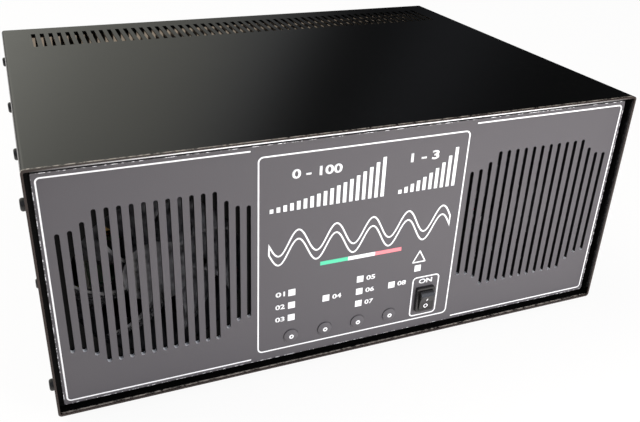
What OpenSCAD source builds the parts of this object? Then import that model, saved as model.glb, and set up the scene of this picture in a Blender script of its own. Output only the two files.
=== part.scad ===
// Short-wave linear amplifier: a desk-top case of two bent shells. Two cooling
// fans blow in through the slotted front plate, and bar meters, status lights,
// keys and the power switch sit between them. The sockets are at the back.
// Lengths are in millimetres, X to the right, Y to the back and Z up. The
// modules draw the case with its front rim at y = 0 and its underside at z = 0,
// and seated() puts the middle of the footprint at the origin, on the table.

/* [Case] */
// Width over the two side walls
case_w = 440; // [436:1:470]
// Depth from the front rim to the back rim
case_d = 326; // [320:1:360]
// Height of the two shells together
case_h = 180; // [174:1:200]
// Thickness of the sheet metal
sheet_t = 1.5; // [1:0.1:2]
// Outside radius of the bends
bend_r = 2.5; // [2.1:0.1:4]
// Height at which the upper shell meets the lower one
seam_z = 88; // [70:1:110]
// Height of the strip inside that covers the seam
splice_h = 20; // [12:1:30]
// Running clearance between sheets that slide together
fit_gap = 0.2; // [0.1:0.05:0.4]
// Height of the rubber feet
foot_h = 9; // [7:0.5:14]
// Diameter of the feet where they meet the case
foot_d = 22; // [16:1:28]
// Distance of the feet from the sides, and from the front and back rims
foot_inset = 32; // [26:1:45]

/* [Side screws and rails] */
// Side of the square rails that the shells are screwed to
rail_w = 10; // [9:0.5:12]
// Height of the upper row of screws below the top
upper_row = 27; // [20:1:40]
// Height of the lower row of screws
lower_row = 17.7; // [16:0.1:22]
// Distance of the first screw of each row from the front rim
first_screw = 13; // [13:0.5:16]
// Diameter of the screw heads
head_d = 8.2; // [7:0.1:8.6]
// Height of the screw heads
head_h = 2.9; // [2:0.1:3.2]
// Diameter of the screw shanks
shank_d = 4; // [3:0.1:4.4]
// How much wider a clearance hole is than its screw
hole_gap = 0.4; // [0.2:0.1:0.6]

/* [Vents] */
// Distance from one slot to the next in the front plate
slot_pitch = 7.5; // [6.5:0.1:7.6]
// Width of the slots in the front plate
slot_w = 3; // [2:0.1:4]
// Number of slots in the top, and of those in line with them in the rear panel
vent_n = 53; // [41:2:53]
// Width of the slots in the top and in the rear panel
vent_w = 3.6; // [2.4:0.1:4]
// Mean distance from a side wall to the outermost slots of the top
vent_margin = 25; // [23:1:40]
// How far both rows of slots sit to the right of the middle
vent_shift = 1.3; // [0:0.1:2]
// Length of the slots in the top
vent_len = 45; // [30:1:50]
// Distance from the back rim to the slots in the top
vent_inset = 20; // [14:1:30]
// Length of the slots in the rear panel
rear_vent_len = 70; // [40:1:76]
// Distance from the top of the case down to the slots of the rear panel
rear_vent_drop = 7; // [5:0.5:12]

/* [Front plate] */
// Thickness of the front plate
plate_t = 3; // [2.5:0.1:4]
// How far the rim stands in front of the plate
rim_depth = 5.3; // [3.5:0.1:8]
// Width of the dark gap between the plate and the rim
plate_gap = 3.4; // [1:0.1:5]
// Radius of the plate's corners
plate_r = 0.8; // [0.4:0.1:2]

/* [Fans and their grilles] */
// Side of each square fan frame
fan_size = 120; // [119:0.5:121]
// Depth of each fan frame
fan_t = 38; // [36:1:42]
// Bore of each fan frame
fan_bore = 116; // [112:0.5:117]
// Free width between a fan and the rails beside it
fan_side = 3.1; // [2:0.1:4]
// Distance between the corner screws of a fan
fan_hole_pitch = 105; // [104:0.5:106]
// Diameter of the fan's hub
hub_d = 46; // [38:1:52]
// Number of blades
blade_n = 7; // [5:1:9]
// Thickness of a blade, measured round the axis
blade_t = 2.4; // [1.6:0.1:3]
// Running gap between the blade tips and the bore
tip_gap = 1.5; // [1:0.1:3]
// Diameter of the rotor's shaft
shaft_d = 3; // [2.5:0.1:4]
// Radial play of the shaft in its bearing
shaft_play = 0.06; // [0.03:0.01:0.1]
// Length of the longest slots of a grille
slot_len = 115; // [104:1:118]

/* [Meters and status lights] */
// Distance from one meter bar to the next
bar_pitch = 4.81; // [4.6:0.01:4.95]
// Width of a meter bar
bar_w = 2.8; // [2.4:0.1:3.4]
// Height of the lowest bar
bar_min = 3.2; // [2:0.1:5]
// Height of the tallest bar
bar_max = 30.2; // [24:0.1:34]
// Side of the square status lights
light_w = 5.5; // [4:0.1:6.5]
// Gap between a lens and its hole
lens_gap = 0.1; // [0.05:0.01:0.2]
// Thickness of the lens plates behind the front plate
lens_t = 2; // [1.5:0.1:2.5]
// Distance of the display board behind the front plate
board_gap = 6; // [5.6:0.1:7]

/* [Keys and power switch] */
// Diameter of the round keys
key_d = 11; // [8:0.1:12]
// Height of the keys' domes in front of the plate
key_proud = 1.7; // [1.2:0.1:3]
// Travel of the keys
key_travel = 0.8; // [0.4:0.1:0.8]
// Gap between a key and its hole
key_gap = 0.25; // [0.15:0.05:0.4]
// Width of the power switch's bezel
bezel_w = 15.2; // [15:0.1:16]
// Height of the power switch's bezel
bezel_h = 21; // [20.4:0.1:22]
// How far the bezel stands in front of the plate
bezel_proud = 3.2; // [2.6:0.1:3.6]
// Tilt of the rocker to each side of its middle
rocker_tilt = 15; // [11:0.5:16]
// How much each half of the rocker's face leans towards the other
face_lean = 8.4; // [5:0.1:10]

/* [Inside] */
// Free depth behind the fans, before the power modules start
fan_room = 12; // [6:1:20]
// Width of the heat sink
sink_w = 168; // [140:1:172]
// Length of the heat sink and of the power supply
module_len = 176; // [150:1:180]
// Height of the heat sink
sink_h = 56; // [40:1:66]
// Thickness of the heat sink's base
sink_base = 9; // [6:0.5:12]
// Width of the power supply
supply_w = 172; // [140:1:176]
// Height of the power supply
supply_h = 78; // [60:1:84]
// Free width between the middle of the case and a power module
module_x = 24; // [20:1:28]
// Free width between the heat sink and the rails
sink_side = 16.3; // [14:0.1:22]
// Free width between the power supply and the rails
supply_side = 12.3; // [10:0.1:20]
// Height of the filter board above the floor
filter_z = 72; // [70:1:80]
// Thickness of the circuit boards
board_t = 1.6; // [1:0.1:2.4]

/* [Rear] */
// Thickness of the rear panel
rear_t = 2; // [1.5:0.1:3]
// How far the back rim stands behind the rear panel
rear_rim = 4; // [2:0.1:6]
// Height of the row of sockets
socket_z = 46; // [42:0.5:48]
// Diameter of the aerial sockets' threaded barrels
barrel_d = 15.88; // [15.8:0.01:16]
// Length of the barrels behind the socket flange
barrel_len = 14; // [12:0.5:18]
// Diameter of the earth stud
stud_d = 6; // [5:0.5:8]
// Length of the earth stud outside the panel
stud_len = 15; // [14:0.5:18]

/* [Hidden] */

$fn = 48;
eps = 0.01;
side_in = case_w / 2 - sheet_t;            // inner face of a side wall
roof_z = case_h - sheet_t;                 // inner face of the top
mid_z = case_h / 2;
plate_back = rim_depth + plate_t;
sub_back = plate_back + sheet_t;           // back of the black subpanel
rear_face = case_d - rear_rim;             // outer face of the rear panel
rear_in = rear_face - rear_t;
plate_half = side_in - plate_gap;
plate_low = sheet_t + plate_gap;

rail_in = side_in - fit_gap - rail_w;      // inner face of a rail

// Rows of screws: how far behind the first one the others sit, over the depth
screw_span = case_d - first_screw - 8;
upper_steps = [for (part = [0, 0.256, 0.574, 1]) part * screw_span];
lower_steps = [for (part = [0, 0.426, 0.826]) part * screw_span];
upper_z = case_h - upper_row;
side_bite = 0.4 * rail_w;                  // length of a side screw in its rail
rear_screw_x = rail_in + 0.3 * rail_w;

// Vents of the top and of the rear panel
vent_pitch = (case_w - 2 * vent_margin) / (vent_n - 1);

// Grille: lengths of the outer slots, from the edge inwards, which leave the
// fans' corner screws covered
edge_slots = [for (part = [0.77, 0.787, 0.87]) part * slot_len];
grille_n = 17;

// Fan, measured from its front face
flange_t = 4;
rotor_front = 5;
rotor_back = fan_t - 6;
strut_t = 3;
motor_d = hub_d - 4;
bearing_d = 10;
fan_x = rail_in - fan_side - fan_size / 2; // distance of each fan from the middle
fan_y = sub_back;
fan_back = fan_y + fan_t;

// Display, measured from the middle of the front plate. It fills the space
// between the fans, so a wider case gives it a wider layout.
display_half = fan_x - fan_bore / 2 - 8.1; // half width of its printed frame
spread = display_half / 79.1;              // 1 in the standard case
bar_step = bar_pitch * spread;
bar_across = bar_w * spread;
bar_base = mid_z + 35.5;
power_x = -69.4 * spread;                  // middle of the first power bar
power_n = 18;
swr_x = 26.4 * spread;                     // middle of the first standing-wave bar
swr_n = 10;
column_x = -53.4 * spread;
column_pitch = 26.85 * spread;
row_low = mid_z - 51.8;
row_pitch = 10.75;
lights = [[0, 0], [0, 1], [0, 2], [1, 1], [2, 0], [2, 1], [2, 2], [3, 1]];
alarm_x = 48.4 * spread;
alarm_z = mid_z - 30.6;
key_z = mid_z - 68;
lens_edge = 1.5;                           // width of a lens plate round its bars
board_y = plate_back + board_gap;
window_half = display_half - 2.6;          // opening of the subpanel behind the display
window_h = case_h - 30;
board_half = window_half - 2;
pillar_x = board_half - 4.5;
pillars = [[-pillar_x, 71], [pillar_x, 71], [-pillar_x, -8], [pillar_x, -8], [-pillar_x, -68], [0, -4]];

// Studs of the front plate, above and below the fans
stud_x = [plate_half - 10.1, display_half + 0.9];
stud_z = mid_z - 14;
stud_places = [for (x = stud_x, a = [-1, 1], b = [-1, 1]) [a * x, b * stud_z]];

// Keys
flange_d = key_d + 3;
key_flange_t = 1.2;
stop_gap = 0.1;
stem_d = 3.2;
key_back = plate_back + stop_gap + key_flange_t;
switch_front = key_back + key_travel + 0.4;

// Power switch, about its pivot
switch_x = 56.6 * spread;
switch_z = mid_z - 58.8;
rocker_w = bezel_w - 4;
rocker_r = bezel_h / 2 - 1.9;              // radius of the rocker's two ends
face_above = 4.1;                          // valley of the face in front of the pivot
pivot_y = rim_depth - bezel_proud + 2.3;
rocker_play = 0.27;
housing_w = rocker_w + 2.2;
housing_half = rocker_r + 0.97;
pin_d = 2;
rocker_tip = pivot_y - rocker_r * sin(asin(face_above * cos(face_lean) / rocker_r) + face_lean + rocker_tilt);

// Inside
module_y = fan_back + fan_room;
module_back = module_y + module_len;
sink_top = sheet_t + sink_h;
fin_n = 21;
fin_t = 2;
sink_mid = -(module_x + rail_in - sink_side) / 2;
supply_mid = (module_x + rail_in - supply_side) / 2;
supply_top = sheet_t + supply_h;
control_x = [supply_mid - 0.384 * supply_w, supply_mid + 0.372 * supply_w];
control_y = [module_y + 6, module_y + 0.625 * module_len];
control_z = supply_top + 8;
// The filter board fills the depth between the modules and the rear panel. Its
// coils and relays stand side by side in bays, one for each band.
filter_y = module_back + 12;
filter_back = rear_in - 8;
filter_depth = filter_back - filter_y;
filter_left = -(side_in - 22.5);
filter_right = side_in - 152.5;
filter_n = 9;
bay_w = (filter_right - filter_left - 10) / filter_n;

// Rear
flange_side = 25.4;
socket_t = 3;
aerial_x = [-0.787 * side_in, -0.54 * side_in];
drive_x = -0.2746 * side_in;
jack_x = [-0.0915 * side_in, 0.0366 * side_in];
fuse_x = 0.5126 * side_in;
inlet_x = 0.7506 * side_in;
inlet_w = 27;
inlet_h = 19.6;
earth_x = 0.2105 * side_in;
earth_z = 26;

// Reach of the whole part to the front and back
front_reach = min(0, rocker_tip);
back_reach = max(case_d, rear_face + max(socket_t + barrel_len, stud_len));
middle_y = (front_reach + back_reach) / 2;

function vent_x(i) = vent_shift + (i - (vent_n - 1) / 2) * vent_pitch;
function bar_curve(s) = (10.5 * s + exp(2.873 * s) - 1) / (10.5 + exp(2.873) - 1);
function bar_height(i, n) = bar_min + (bar_max - bar_min) * bar_curve(i / (n - 1));
function light_x(i) = column_x + column_pitch * i;
function light_z(j) = row_low + row_pitch * j;
function grille_len(i) = let (k = min(i, grille_n - 1 - i)) k < len(edge_slots) ? edge_slots[k] : slot_len;

// ---- helpers -------------------------------------------------------------

// Everything sits on the table, centred on the origin
module seated() {
    translate([0, -middle_y, foot_h]) children();
}

module block(x, y, z) {
    translate([x[0], y[0], z[0]]) cube([x[1] - x[0], y[1] - y[0], z[1] - z[0]]);
}

// A flat outline drawn in X and Z, given its thickness along Y
module along_y(from, to) {
    translate([0, to, 0]) rotate([90, 0, 0]) linear_extrude(to - from) children();
}

module rod_y(x, z, from, to, d) {
    translate([x, from, z]) rotate([-90, 0, 0]) cylinder(h = to - from, d = d);
}

module rod_x(y, z, from, to, d) {
    translate([from, y, z]) rotate([0, 90, 0]) cylinder(h = to - from, d = d);
}

module nut_y(x, z, from, h, across, bore) {
    difference() {
        translate([x, from, z]) rotate([-90, 0, 0])
            cylinder(h = h, d = across / cos(30), $fn = 6);
        rod_y(x, z, from - 1, from + h + 1, bore);
    }
}

// A rectangle with round corners, between two corners
module round_rect(x, z, r) {
    translate([x[0] + r, z[0]]) square([x[1] - x[0] - 2 * r, z[1] - z[0]]);
    translate([x[0], z[0] + r]) square([x[1] - x[0], z[1] - z[0] - 2 * r]);
    for (a = [x[0] + r, x[1] - r], b = [z[0] + r, z[1] - r]) translate([a, b]) circle(r);
}

// The outline of the case's inside, drawn in by a gap
module inner_outline(gap) {
    r = max(bend_r - sheet_t, 0.6);
    round_rect([-side_in + gap, side_in - gap], [sheet_t + gap, roof_z - gap], r);
}

// ---- case ----------------------------------------------------------------

module shell_sleeve() {
    along_y(0, case_d) difference() {
        round_rect([-case_w / 2, case_w / 2], [0, case_h], bend_r);
        inner_outline(0);
    }
}

module side_holes(z, steps) {
    for (s = steps) rod_x(first_screw + s, z, -case_w, case_w, shank_d + hole_gap);
}

module top_vents() {
    y = case_d - vent_inset;
    for (i = [0 : vent_n - 1])
        block([vent_x(i) - vent_w / 2, vent_x(i) + vent_w / 2], [y - vent_len, y], [roof_z - 1, case_h + 1]);
}

module top_cover() {
    color("dimgray") difference() {
        shell_sleeve();
        block([-case_w, case_w], [-1, case_d + 1], [-1, seam_z]);
        side_holes(upper_z, upper_steps);
        top_vents();
    }
}

module bottom_cover() {
    foot_hole = shank_d + hole_gap;
    color("dimgray") difference() {
        union() {
            intersection() {
                shell_sleeve();
                block([-case_w, case_w], [-1, case_d + 1], [-1, seam_z - fit_gap]);
            }
            // strips that cover the seam on the inside
            for (s = [-1, 1]) splice_strip(s);
        }
        side_holes(lower_row, lower_steps);
        for (x = [-1, 1], y = [foot_inset, case_d - foot_inset])
            translate([x * (case_w / 2 - foot_inset), y, -1]) cylinder(h = sheet_t + 2, d = foot_hole);
    }
}

// The strip is set in by the clearance above the seam, where the top cover slides over it
module splice_strip(side) {
    low = seam_z - splice_h / 2;
    y = [sub_back + 4, rear_in - 4];
    strip = [side_in - fit_gap - sheet_t, side_in - fit_gap];
    weld = [side_in - fit_gap - eps, side_in + eps];
    mirror([side > 0 ? 0 : 1, 0, 0]) {
        block(strip, y, [low, seam_z + splice_h / 2]);
        block(weld, y, [low, seam_z - fit_gap - eps]);
    }
}

module rail(side, z, steps) {
    x0 = side * (rail_in + rail_w / 2) - rail_w / 2;
    color("silver") difference() {
        block([x0, x0 + rail_w], [sub_back, rear_in], [z - rail_w / 2, z + rail_w / 2]);
        for (s = steps) rod_x(first_screw + s, z, side > 0 ? x0 + 2 : x0 - 1,
            side > 0 ? x0 + rail_w + 1 : x0 + rail_w - 2, shank_d + 2 * lens_gap);
        rod_y(side * rear_screw_x, z, rear_in - 5, rear_in + 1, 3.2);
    }
}

module rail_upper_left() { rail(-1, upper_z, upper_steps); }
module rail_upper_right() { rail(1, upper_z, upper_steps); }
module rail_lower_left() { rail(-1, lower_row, lower_steps); }
module rail_lower_right() { rail(1, lower_row, lower_steps); }

// A screw head with a rounded shoulder
module pan_head(d, h) {
    r = h * 0.55;
    rotate_extrude() {
        square([d / 2, h - r]);
        square([d / 2 - r, h]);
        intersection() {
            square([d / 2, h]);
            translate([d / 2 - r, h - r]) circle(r);
        }
    }
}

module side_screws() {
    side_reach = sheet_t + fit_gap + side_bite;
    color("black") for (side = [-1, 1], row = [[upper_z, upper_steps], [lower_row, lower_steps]])
        for (s = row[1]) translate([side * case_w / 2, first_screw + s, row[0]])
            rotate([0, side * 90, 0]) difference() {
                union() {
                    pan_head(head_d, head_h);
                    translate([0, 0, -side_reach]) cylinder(h = side_reach + 0.5, d = shank_d);
                }
                cross_recess(head_h);
            }
}

module cross_recess(h) {
    for (a = [0, 90]) rotate(a) translate([-1.9, -0.45, h - 1.5]) cube([3.8, 0.9, 2]);
}

module rear_screws() {
    color("black") for (side = [-1, 1], z = [lower_row, upper_z])
        translate([side * rear_screw_x, rear_face, z]) rotate([-90, 0, 0]) difference() {
            union() {
                pan_head(6, 2.2);
                translate([0, 0, -rear_t - 4]) cylinder(h = rear_t + 4.5, d = 3);
            }
            cross_recess(2.2);
        }
}

module foot_at(x, y) {
    color("black") translate([x * (case_w / 2 - foot_inset), y, -foot_h]) difference() {
        cylinder(h = foot_h, d1 = foot_d - 3, d2 = foot_d);
        translate([0, 0, -1]) cylinder(h = foot_h / 2 + 1, d = head_d + 1.4);
        cylinder(h = foot_h + 1, d = shank_d + hole_gap);
    }
}

module foot_front_left() { foot_at(-1, foot_inset); }
module foot_front_right() { foot_at(1, foot_inset); }
module foot_back_left() { foot_at(-1, case_d - foot_inset); }
module foot_back_right() { foot_at(1, case_d - foot_inset); }

module foot_screws() {
    color("silver") for (x = [-1, 1], y = [foot_inset, case_d - foot_inset])
        translate([x * (case_w / 2 - foot_inset), y, 0]) {
            translate([0, 0, -foot_h / 2]) rotate([180, 0, 0]) pan_head(head_d - 0.6, 2);
            translate([0, 0, -foot_h / 2 - 0.5]) cylinder(h = foot_h / 2 + 0.5 + sheet_t + 4, d = shank_d);
            // nut inside the case
            translate([0, 0, sheet_t]) cylinder(h = 3.2, d = 7 / cos(30), $fn = 6);
        }
}

// ---- front ---------------------------------------------------------------

module front_subpanel() {
    color("black") difference() {
        union() {
            along_y(plate_back, sub_back) inner_outline(fit_gap);
            // flanges folded back along the roof and the floor
            for (z = [[sheet_t + fit_gap, 2 * sheet_t + fit_gap], [roof_z - fit_gap - sheet_t, roof_z - fit_gap]])
                block([-rail_in + 4, rail_in - 4], [plate_back, sub_back + 11], z);
            // studs that carry the fans
            for (s = [-1, 1], a = [-1, 1], b = [-1, 1])
                rod_y(s * fan_x + a * fan_hole_pitch / 2, mid_z + b * fan_hole_pitch / 2,
                    plate_back, fan_back + 5.5, shank_d);
        }
        for (s = [-1, 1]) rod_y(s * fan_x, mid_z, plate_back - 1, sub_back + 1, fan_bore);
        block([-window_half, window_half], [plate_back - 1, sub_back + 1],
            [mid_z - window_h / 2, mid_z + window_h / 2]);
        for (p = stud_places) rod_y(p[0], mid_z + p[1], plate_back - 1, sub_back + 1, 3 + hole_gap);
    }
}

module slot(x, z, length) {
    straight = length - slot_w;
    block([x - slot_w / 2, x + slot_w / 2], [rim_depth - 1, plate_back + 1], [z - straight / 2, z + straight / 2]);
    for (e = [-1, 1]) rod_y(x, z + e * straight / 2, rim_depth - 1, plate_back + 1, slot_w);
}

module grille_slots(x) {
    for (i = [0 : grille_n - 1]) slot(x + (i - (grille_n - 1) / 2) * slot_pitch, mid_z, grille_len(i));
}

// One bar or one square of a meter or light, from y0 to y1 and drawn in by a gap
module bar(x0, i, n, gap, y) {
    x = x0 + i * bar_step;
    block([x - bar_across / 2 + gap, x + bar_across / 2 - gap], y,
        [bar_base + gap, bar_base + bar_height(i, n) - gap]);
}

module light(x, z, gap, y) {
    block([x - light_w / 2 + gap, x + light_w / 2 - gap], y, [z - light_w / 2 + gap, z + light_w / 2 - gap]);
}

module display_shapes(gap, y) {
    for (i = [0 : power_n - 1]) bar(power_x, i, power_n, gap, y);
    for (i = [0 : swr_n - 1]) bar(swr_x, i, swr_n, gap, y);
    status_shapes(gap, y);
}

module status_shapes(gap, y) {
    for (p = lights) light(light_x(p[0]), light_z(p[1]), gap, y);
    light(alarm_x, alarm_z, gap, y);
}

module front_plate() {
    cut = [rim_depth - 1, plate_back + 1];
    color("#6d696c") {
        difference() {
            along_y(rim_depth, plate_back)
                round_rect([-plate_half, plate_half], [plate_low, case_h - plate_low], plate_r);
            for (s = [-1, 1]) grille_slots(s * fan_x);
            display_shapes(0, cut);
            for (i = [0 : 3]) rod_y(light_x(i), key_z, cut[0], cut[1], key_d + 2 * key_gap);
            block([switch_x - housing_w / 2 - fit_gap, switch_x + housing_w / 2 + fit_gap], cut,
                [switch_z - housing_half - fit_gap, switch_z + housing_half + fit_gap]);
        }
        // welded studs on the back
        for (p = stud_places) rod_y(p[0], mid_z + p[1], plate_back - 0.5, sub_back + 5, 3);
    }
}

module plate_nuts() {
    color("silver") for (p = stud_places) nut_y(p[0], mid_z + p[1], sub_back, 2.4, 5.5, 3.1);
}

module meter_lens(x0, n) {
    color("white") {
        block([x0 - bar_across / 2 - lens_edge, x0 + (n - 1) * bar_step + bar_across / 2 + lens_edge],
            [plate_back, plate_back + lens_t], [bar_base - 2, bar_base + bar_max + 2]);
        for (i = [0 : n - 1]) bar(x0, i, n, lens_gap, [rim_depth, plate_back + 0.5]);
    }
}

module power_meter_lens() { meter_lens(power_x, power_n); }
module swr_meter_lens() { meter_lens(swr_x, swr_n); }

module status_lens() {
    edge = light_w / 2 + lens_edge;
    y = [plate_back, plate_back + lens_t];
    color("white") {
        block([light_x(0) - edge, light_x(3) + edge], y, [light_z(0) - edge, light_z(2) + edge]);
        block([light_x(2), alarm_x + edge], y, [alarm_z - edge, alarm_z + edge]);
        status_shapes(lens_gap, [rim_depth, plate_back + 0.5]);
    }
}

module meter_lamps() {
    y = [plate_back + lens_t + 0.3, board_y];
    top = bar_base + bar_max;
    color("ivory") {
        for (row = [[power_x, power_n], [swr_x, swr_n]])
            block([row[0] - bar_across / 2, row[0] + (row[1] - 1) * bar_step + bar_across / 2], y, [bar_base, top]);
        status_shapes(0.8, y);
    }
}

module display_board() {
    y = [board_y, board_y + board_t];
    color("darkgreen") difference() {
        block([-board_half, board_half], y, [mid_z - window_h / 2 + 1, mid_z + window_h / 2 - 1]);
        // cut away round the power switch
        block([switch_x - housing_w / 2 - 3, window_half], [board_y - 1, board_y + board_t + 1],
            [mid_z - window_h / 2, switch_z + housing_half + 3]);
        for (p = pillars) rod_y(p[0], mid_z + p[1], board_y - 1, board_y + board_t + 1, 3 + hole_gap);
    }
}

module display_pillars() {
    color("silver") for (p = pillars) {
        rod_y(p[0], mid_z + p[1], plate_back, board_y, 6);
        rod_y(p[0], mid_z + p[1], board_y - 0.5, board_y + board_t + 3, 3);
        nut_y(p[0], mid_z + p[1], board_y + board_t, 2.4, 5.5, 3 - eps);
    }
}

module key_switches() {
    side = 6.2;
    color("black") for (i = [0 : 3]) difference() {
        block([light_x(i) - side / 2, light_x(i) + side / 2], [switch_front, board_y],
            [key_z - side / 2, key_z + side / 2]);
        rod_y(light_x(i), key_z, switch_front - 1, board_y - 0.6, stem_d + 0.3);
    }
}

module key(i) {
    dome_r = (key_d * key_d / 4 + 1) / 2;
    color("#6d696c") translate([light_x(i), 0, key_z]) {
        intersection() {
            rod_y(0, 0, rim_depth - key_proud, key_back, key_d);
            translate([0, rim_depth - key_proud + dome_r, 0]) sphere(r = dome_r, $fn = 96);
        }
        rod_y(0, 0, plate_back + stop_gap, key_back, flange_d);
        rod_y(0, 0, key_back - 0.5, switch_front + 0.8, stem_d);
    }
}

module key_1() { key(0); }
module key_2() { key(1); }
module key_3() { key(2); }
module key_4() { key(3); }

module switch_housing() {
    deep = pivot_y + rocker_r + 1;
    front = rim_depth - bezel_proud;
    play = rocker_r + rocker_play;
    color("black") translate([switch_x, 0, switch_z]) {
        difference() {
            union() {
                along_y(front, rim_depth) round_rect([-bezel_w / 2, bezel_w / 2], [-bezel_h / 2, bezel_h / 2], 1);
                block([-housing_w / 2, housing_w / 2], [rim_depth - 0.5, deep + 3], [-housing_half, housing_half]);
            }
            block([-rocker_w / 2 - 0.2, rocker_w / 2 + 0.2], [front - 1, deep], [-play, play]);
            rod_x(pivot_y, 0, -rocker_w / 2 - 0.95, rocker_w / 2 + 0.95, pin_d + 0.12);
        }
        // blade terminals
        for (z = [-5.5, 0, 5.5]) block([-3.2, 3.2], [deep + 2.5, deep + 11], [z - 0.4, z + 0.4]);
    }
}

// The rocker is drawn about its pivot with its lower half pressed
module power_rocker() {
    reach = rocker_r + 4;
    crest = -face_above - reach * tan(face_lean);
    color("black") translate([switch_x, pivot_y, switch_z]) {
        rotate([rocker_tilt, 0, 0]) intersection() {
            rod_x(0, 0, -rocker_w / 2, rocker_w / 2, 2 * rocker_r);
            // two facets that meet in a shallow valley
            rotate([90, 0, 90]) translate([0, 0, -rocker_w / 2]) linear_extrude(rocker_w) polygon([
                [-face_above, 0], [crest, reach], [3, reach], [3, -reach], [crest, -reach]]);
        }
        rod_x(0, 0, -rocker_w / 2 - 0.85, rocker_w / 2 + 0.85, pin_d);
    }
}

// ---- fans ----------------------------------------------------------------

// Drawn about the fan's axis, with y = 0 at its front face
module fan_frame() {
    half = fan_size / 2;
    y_motor = fan_t - strut_t;
    color("#2b2b2e") {
        difference() {
            union() {
                for (y = [0, fan_t - flange_t]) along_y(y, y + flange_t)
                    round_rect([-half, half], [-half, half], 6);
                rod_y(0, 0, 0, fan_t, fan_size - 0.2);
            }
            rod_y(0, 0, -1, fan_t + 1, fan_bore);
            for (a = [-1, 1], b = [-1, 1])
                rod_y(a * fan_hole_pitch / 2, b * fan_hole_pitch / 2, -1, fan_t + 1, shank_d + hole_gap);
        }
        difference() {
            union() {
                rod_y(0, 0, y_motor, fan_t, motor_d);
                rod_y(0, 0, rotor_front + 7, y_motor + 1, bearing_d);
                for (a = [45 : 90 : 315]) rotate([0, a, 0])
                    block([motor_d / 2 - 2, fan_bore / 2 + 1], [y_motor, fan_t], [-3, 3]);
            }
            rod_y(0, 0, rotor_front, y_motor - 1, shaft_d + 2 * shaft_play);
        }
    }
}

// One blade: a curved section that turns as it runs back
module blade() {
    r_in = hub_d / 2 - 1.5;
    r_out = fan_bore / 2 - tip_gap;
    sweep = 26;
    n = 4;
    inner = [for (k = [0 : n]) let (r = r_in + (r_out - r_in) * k / n, a = sweep * pow(k / n, 1.4)) [r * cos(a), r * sin(a)]];
    outer = [for (k = [n : -1 : 0]) let (r = r_in + (r_out - r_in) * k / n, a = sweep * pow(k / n, 1.4) + blade_t / r * 57.3)
        [r * cos(a), r * sin(a)]];
    rotate([-90, 0, 0]) linear_extrude(rotor_back - rotor_front - 2, twist = 38, slices = 4) polygon(concat(inner, outer));
}

module fan_rotor(hand) {
    wall = 1.8;
    color("#3a3a3e") {
        difference() {
            rod_y(0, 0, rotor_front, rotor_back, hub_d);
            rod_y(0, 0, rotor_front + wall, rotor_back + 1, hub_d - 2 * wall);
        }
        rod_y(0, 0, rotor_front + 0.5, rotor_back - 2.5, shaft_d);
        for (i = [0 : blade_n - 1]) rotate([0, i * 360 / blade_n + hand * 9, 0])
            translate([0, rotor_front + 1, 0]) blade();
    }
}

module at_fan(side) { translate([side * fan_x, fan_y, mid_z]) children(); }

module fan_frame_left() { at_fan(-1) fan_frame(); }
module fan_frame_right() { at_fan(1) fan_frame(); }
module fan_rotor_left() { at_fan(-1) fan_rotor(0); }
module fan_rotor_right() { at_fan(1) fan_rotor(1); }

module fan_nuts() {
    color("silver") for (s = [-1, 1], a = [-1, 1], b = [-1, 1])
        nut_y(s * fan_x + a * fan_hole_pitch / 2, mid_z + b * fan_hole_pitch / 2, fan_back, 3.2, 7, shank_d + 0.1);
}

// ---- inside --------------------------------------------------------------

module heat_sink() {
    x0 = sink_mid - sink_w / 2;
    pitch = (sink_w - fin_t) / (fin_n - 1);
    color("silver") along_y(module_y, module_back) {
        translate([x0, sink_top - sink_base]) square([sink_w, sink_base]);
        for (i = [0 : fin_n - 1]) translate([x0 + i * pitch, sheet_t]) square([fin_t, sink_h - sink_base + 0.5]);
    }
}

module amplifier_board() {
    color("darkgreen") difference() {
        block([sink_mid - sink_w / 2 + 6, sink_mid + sink_w / 2 - 6], [module_y + 4, module_back - 4],
            [sink_top, sink_top + board_t]);
        for (i = [0 : 3]) transistor_bed(i, 0.4, [sink_top - 1, sink_top + board_t + 1]);
    }
}

function transistor_x(i) = sink_mid + (i - 1.5) * sink_w * 0.226;

// The transistors sit through the board, straight on the heat sink
module transistor_bed(i, gap, z) {
    x = transistor_x(i);
    y = module_y + module_len * 0.5;
    block([x - 6 - gap, x + 6 + gap], [y - 17 - gap, y + 17 + gap], z);
}

module power_transistors() {
    color("gold") for (i = [0 : 3]) {
        transistor_bed(i, 0, [sink_top, sink_top + 2.2]);
        transistor_bed(i, -1.2, [sink_top + 2, sink_top + 5]);
    }
}

// A ferrite block on the board, with two bores side by side
module ferrite(x, y, w, d, h) {
    z0 = sink_top + board_t;
    difference() {
        block([x - w / 2, x + w / 2], [y - d / 2, y + d / 2], [z0, z0 + h]);
        for (s = [-1, 1]) rod_y(x + s * w / 4, z0 + h / 2, y - d, y + d, h * 0.45);
    }
}

// Two large blocks combine the output, and four small ones feed the transistors
module output_transformers() {
    color("#3b3b3b") {
        for (i = [0, 2]) ferrite((transistor_x(i) + transistor_x(i + 1)) / 2, module_y + module_len * 0.78, 44, 32, 20);
        for (i = [0 : 3]) ferrite(transistor_x(i), module_y + module_len * 0.2, 18, 16, 11);
    }
}

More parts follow.
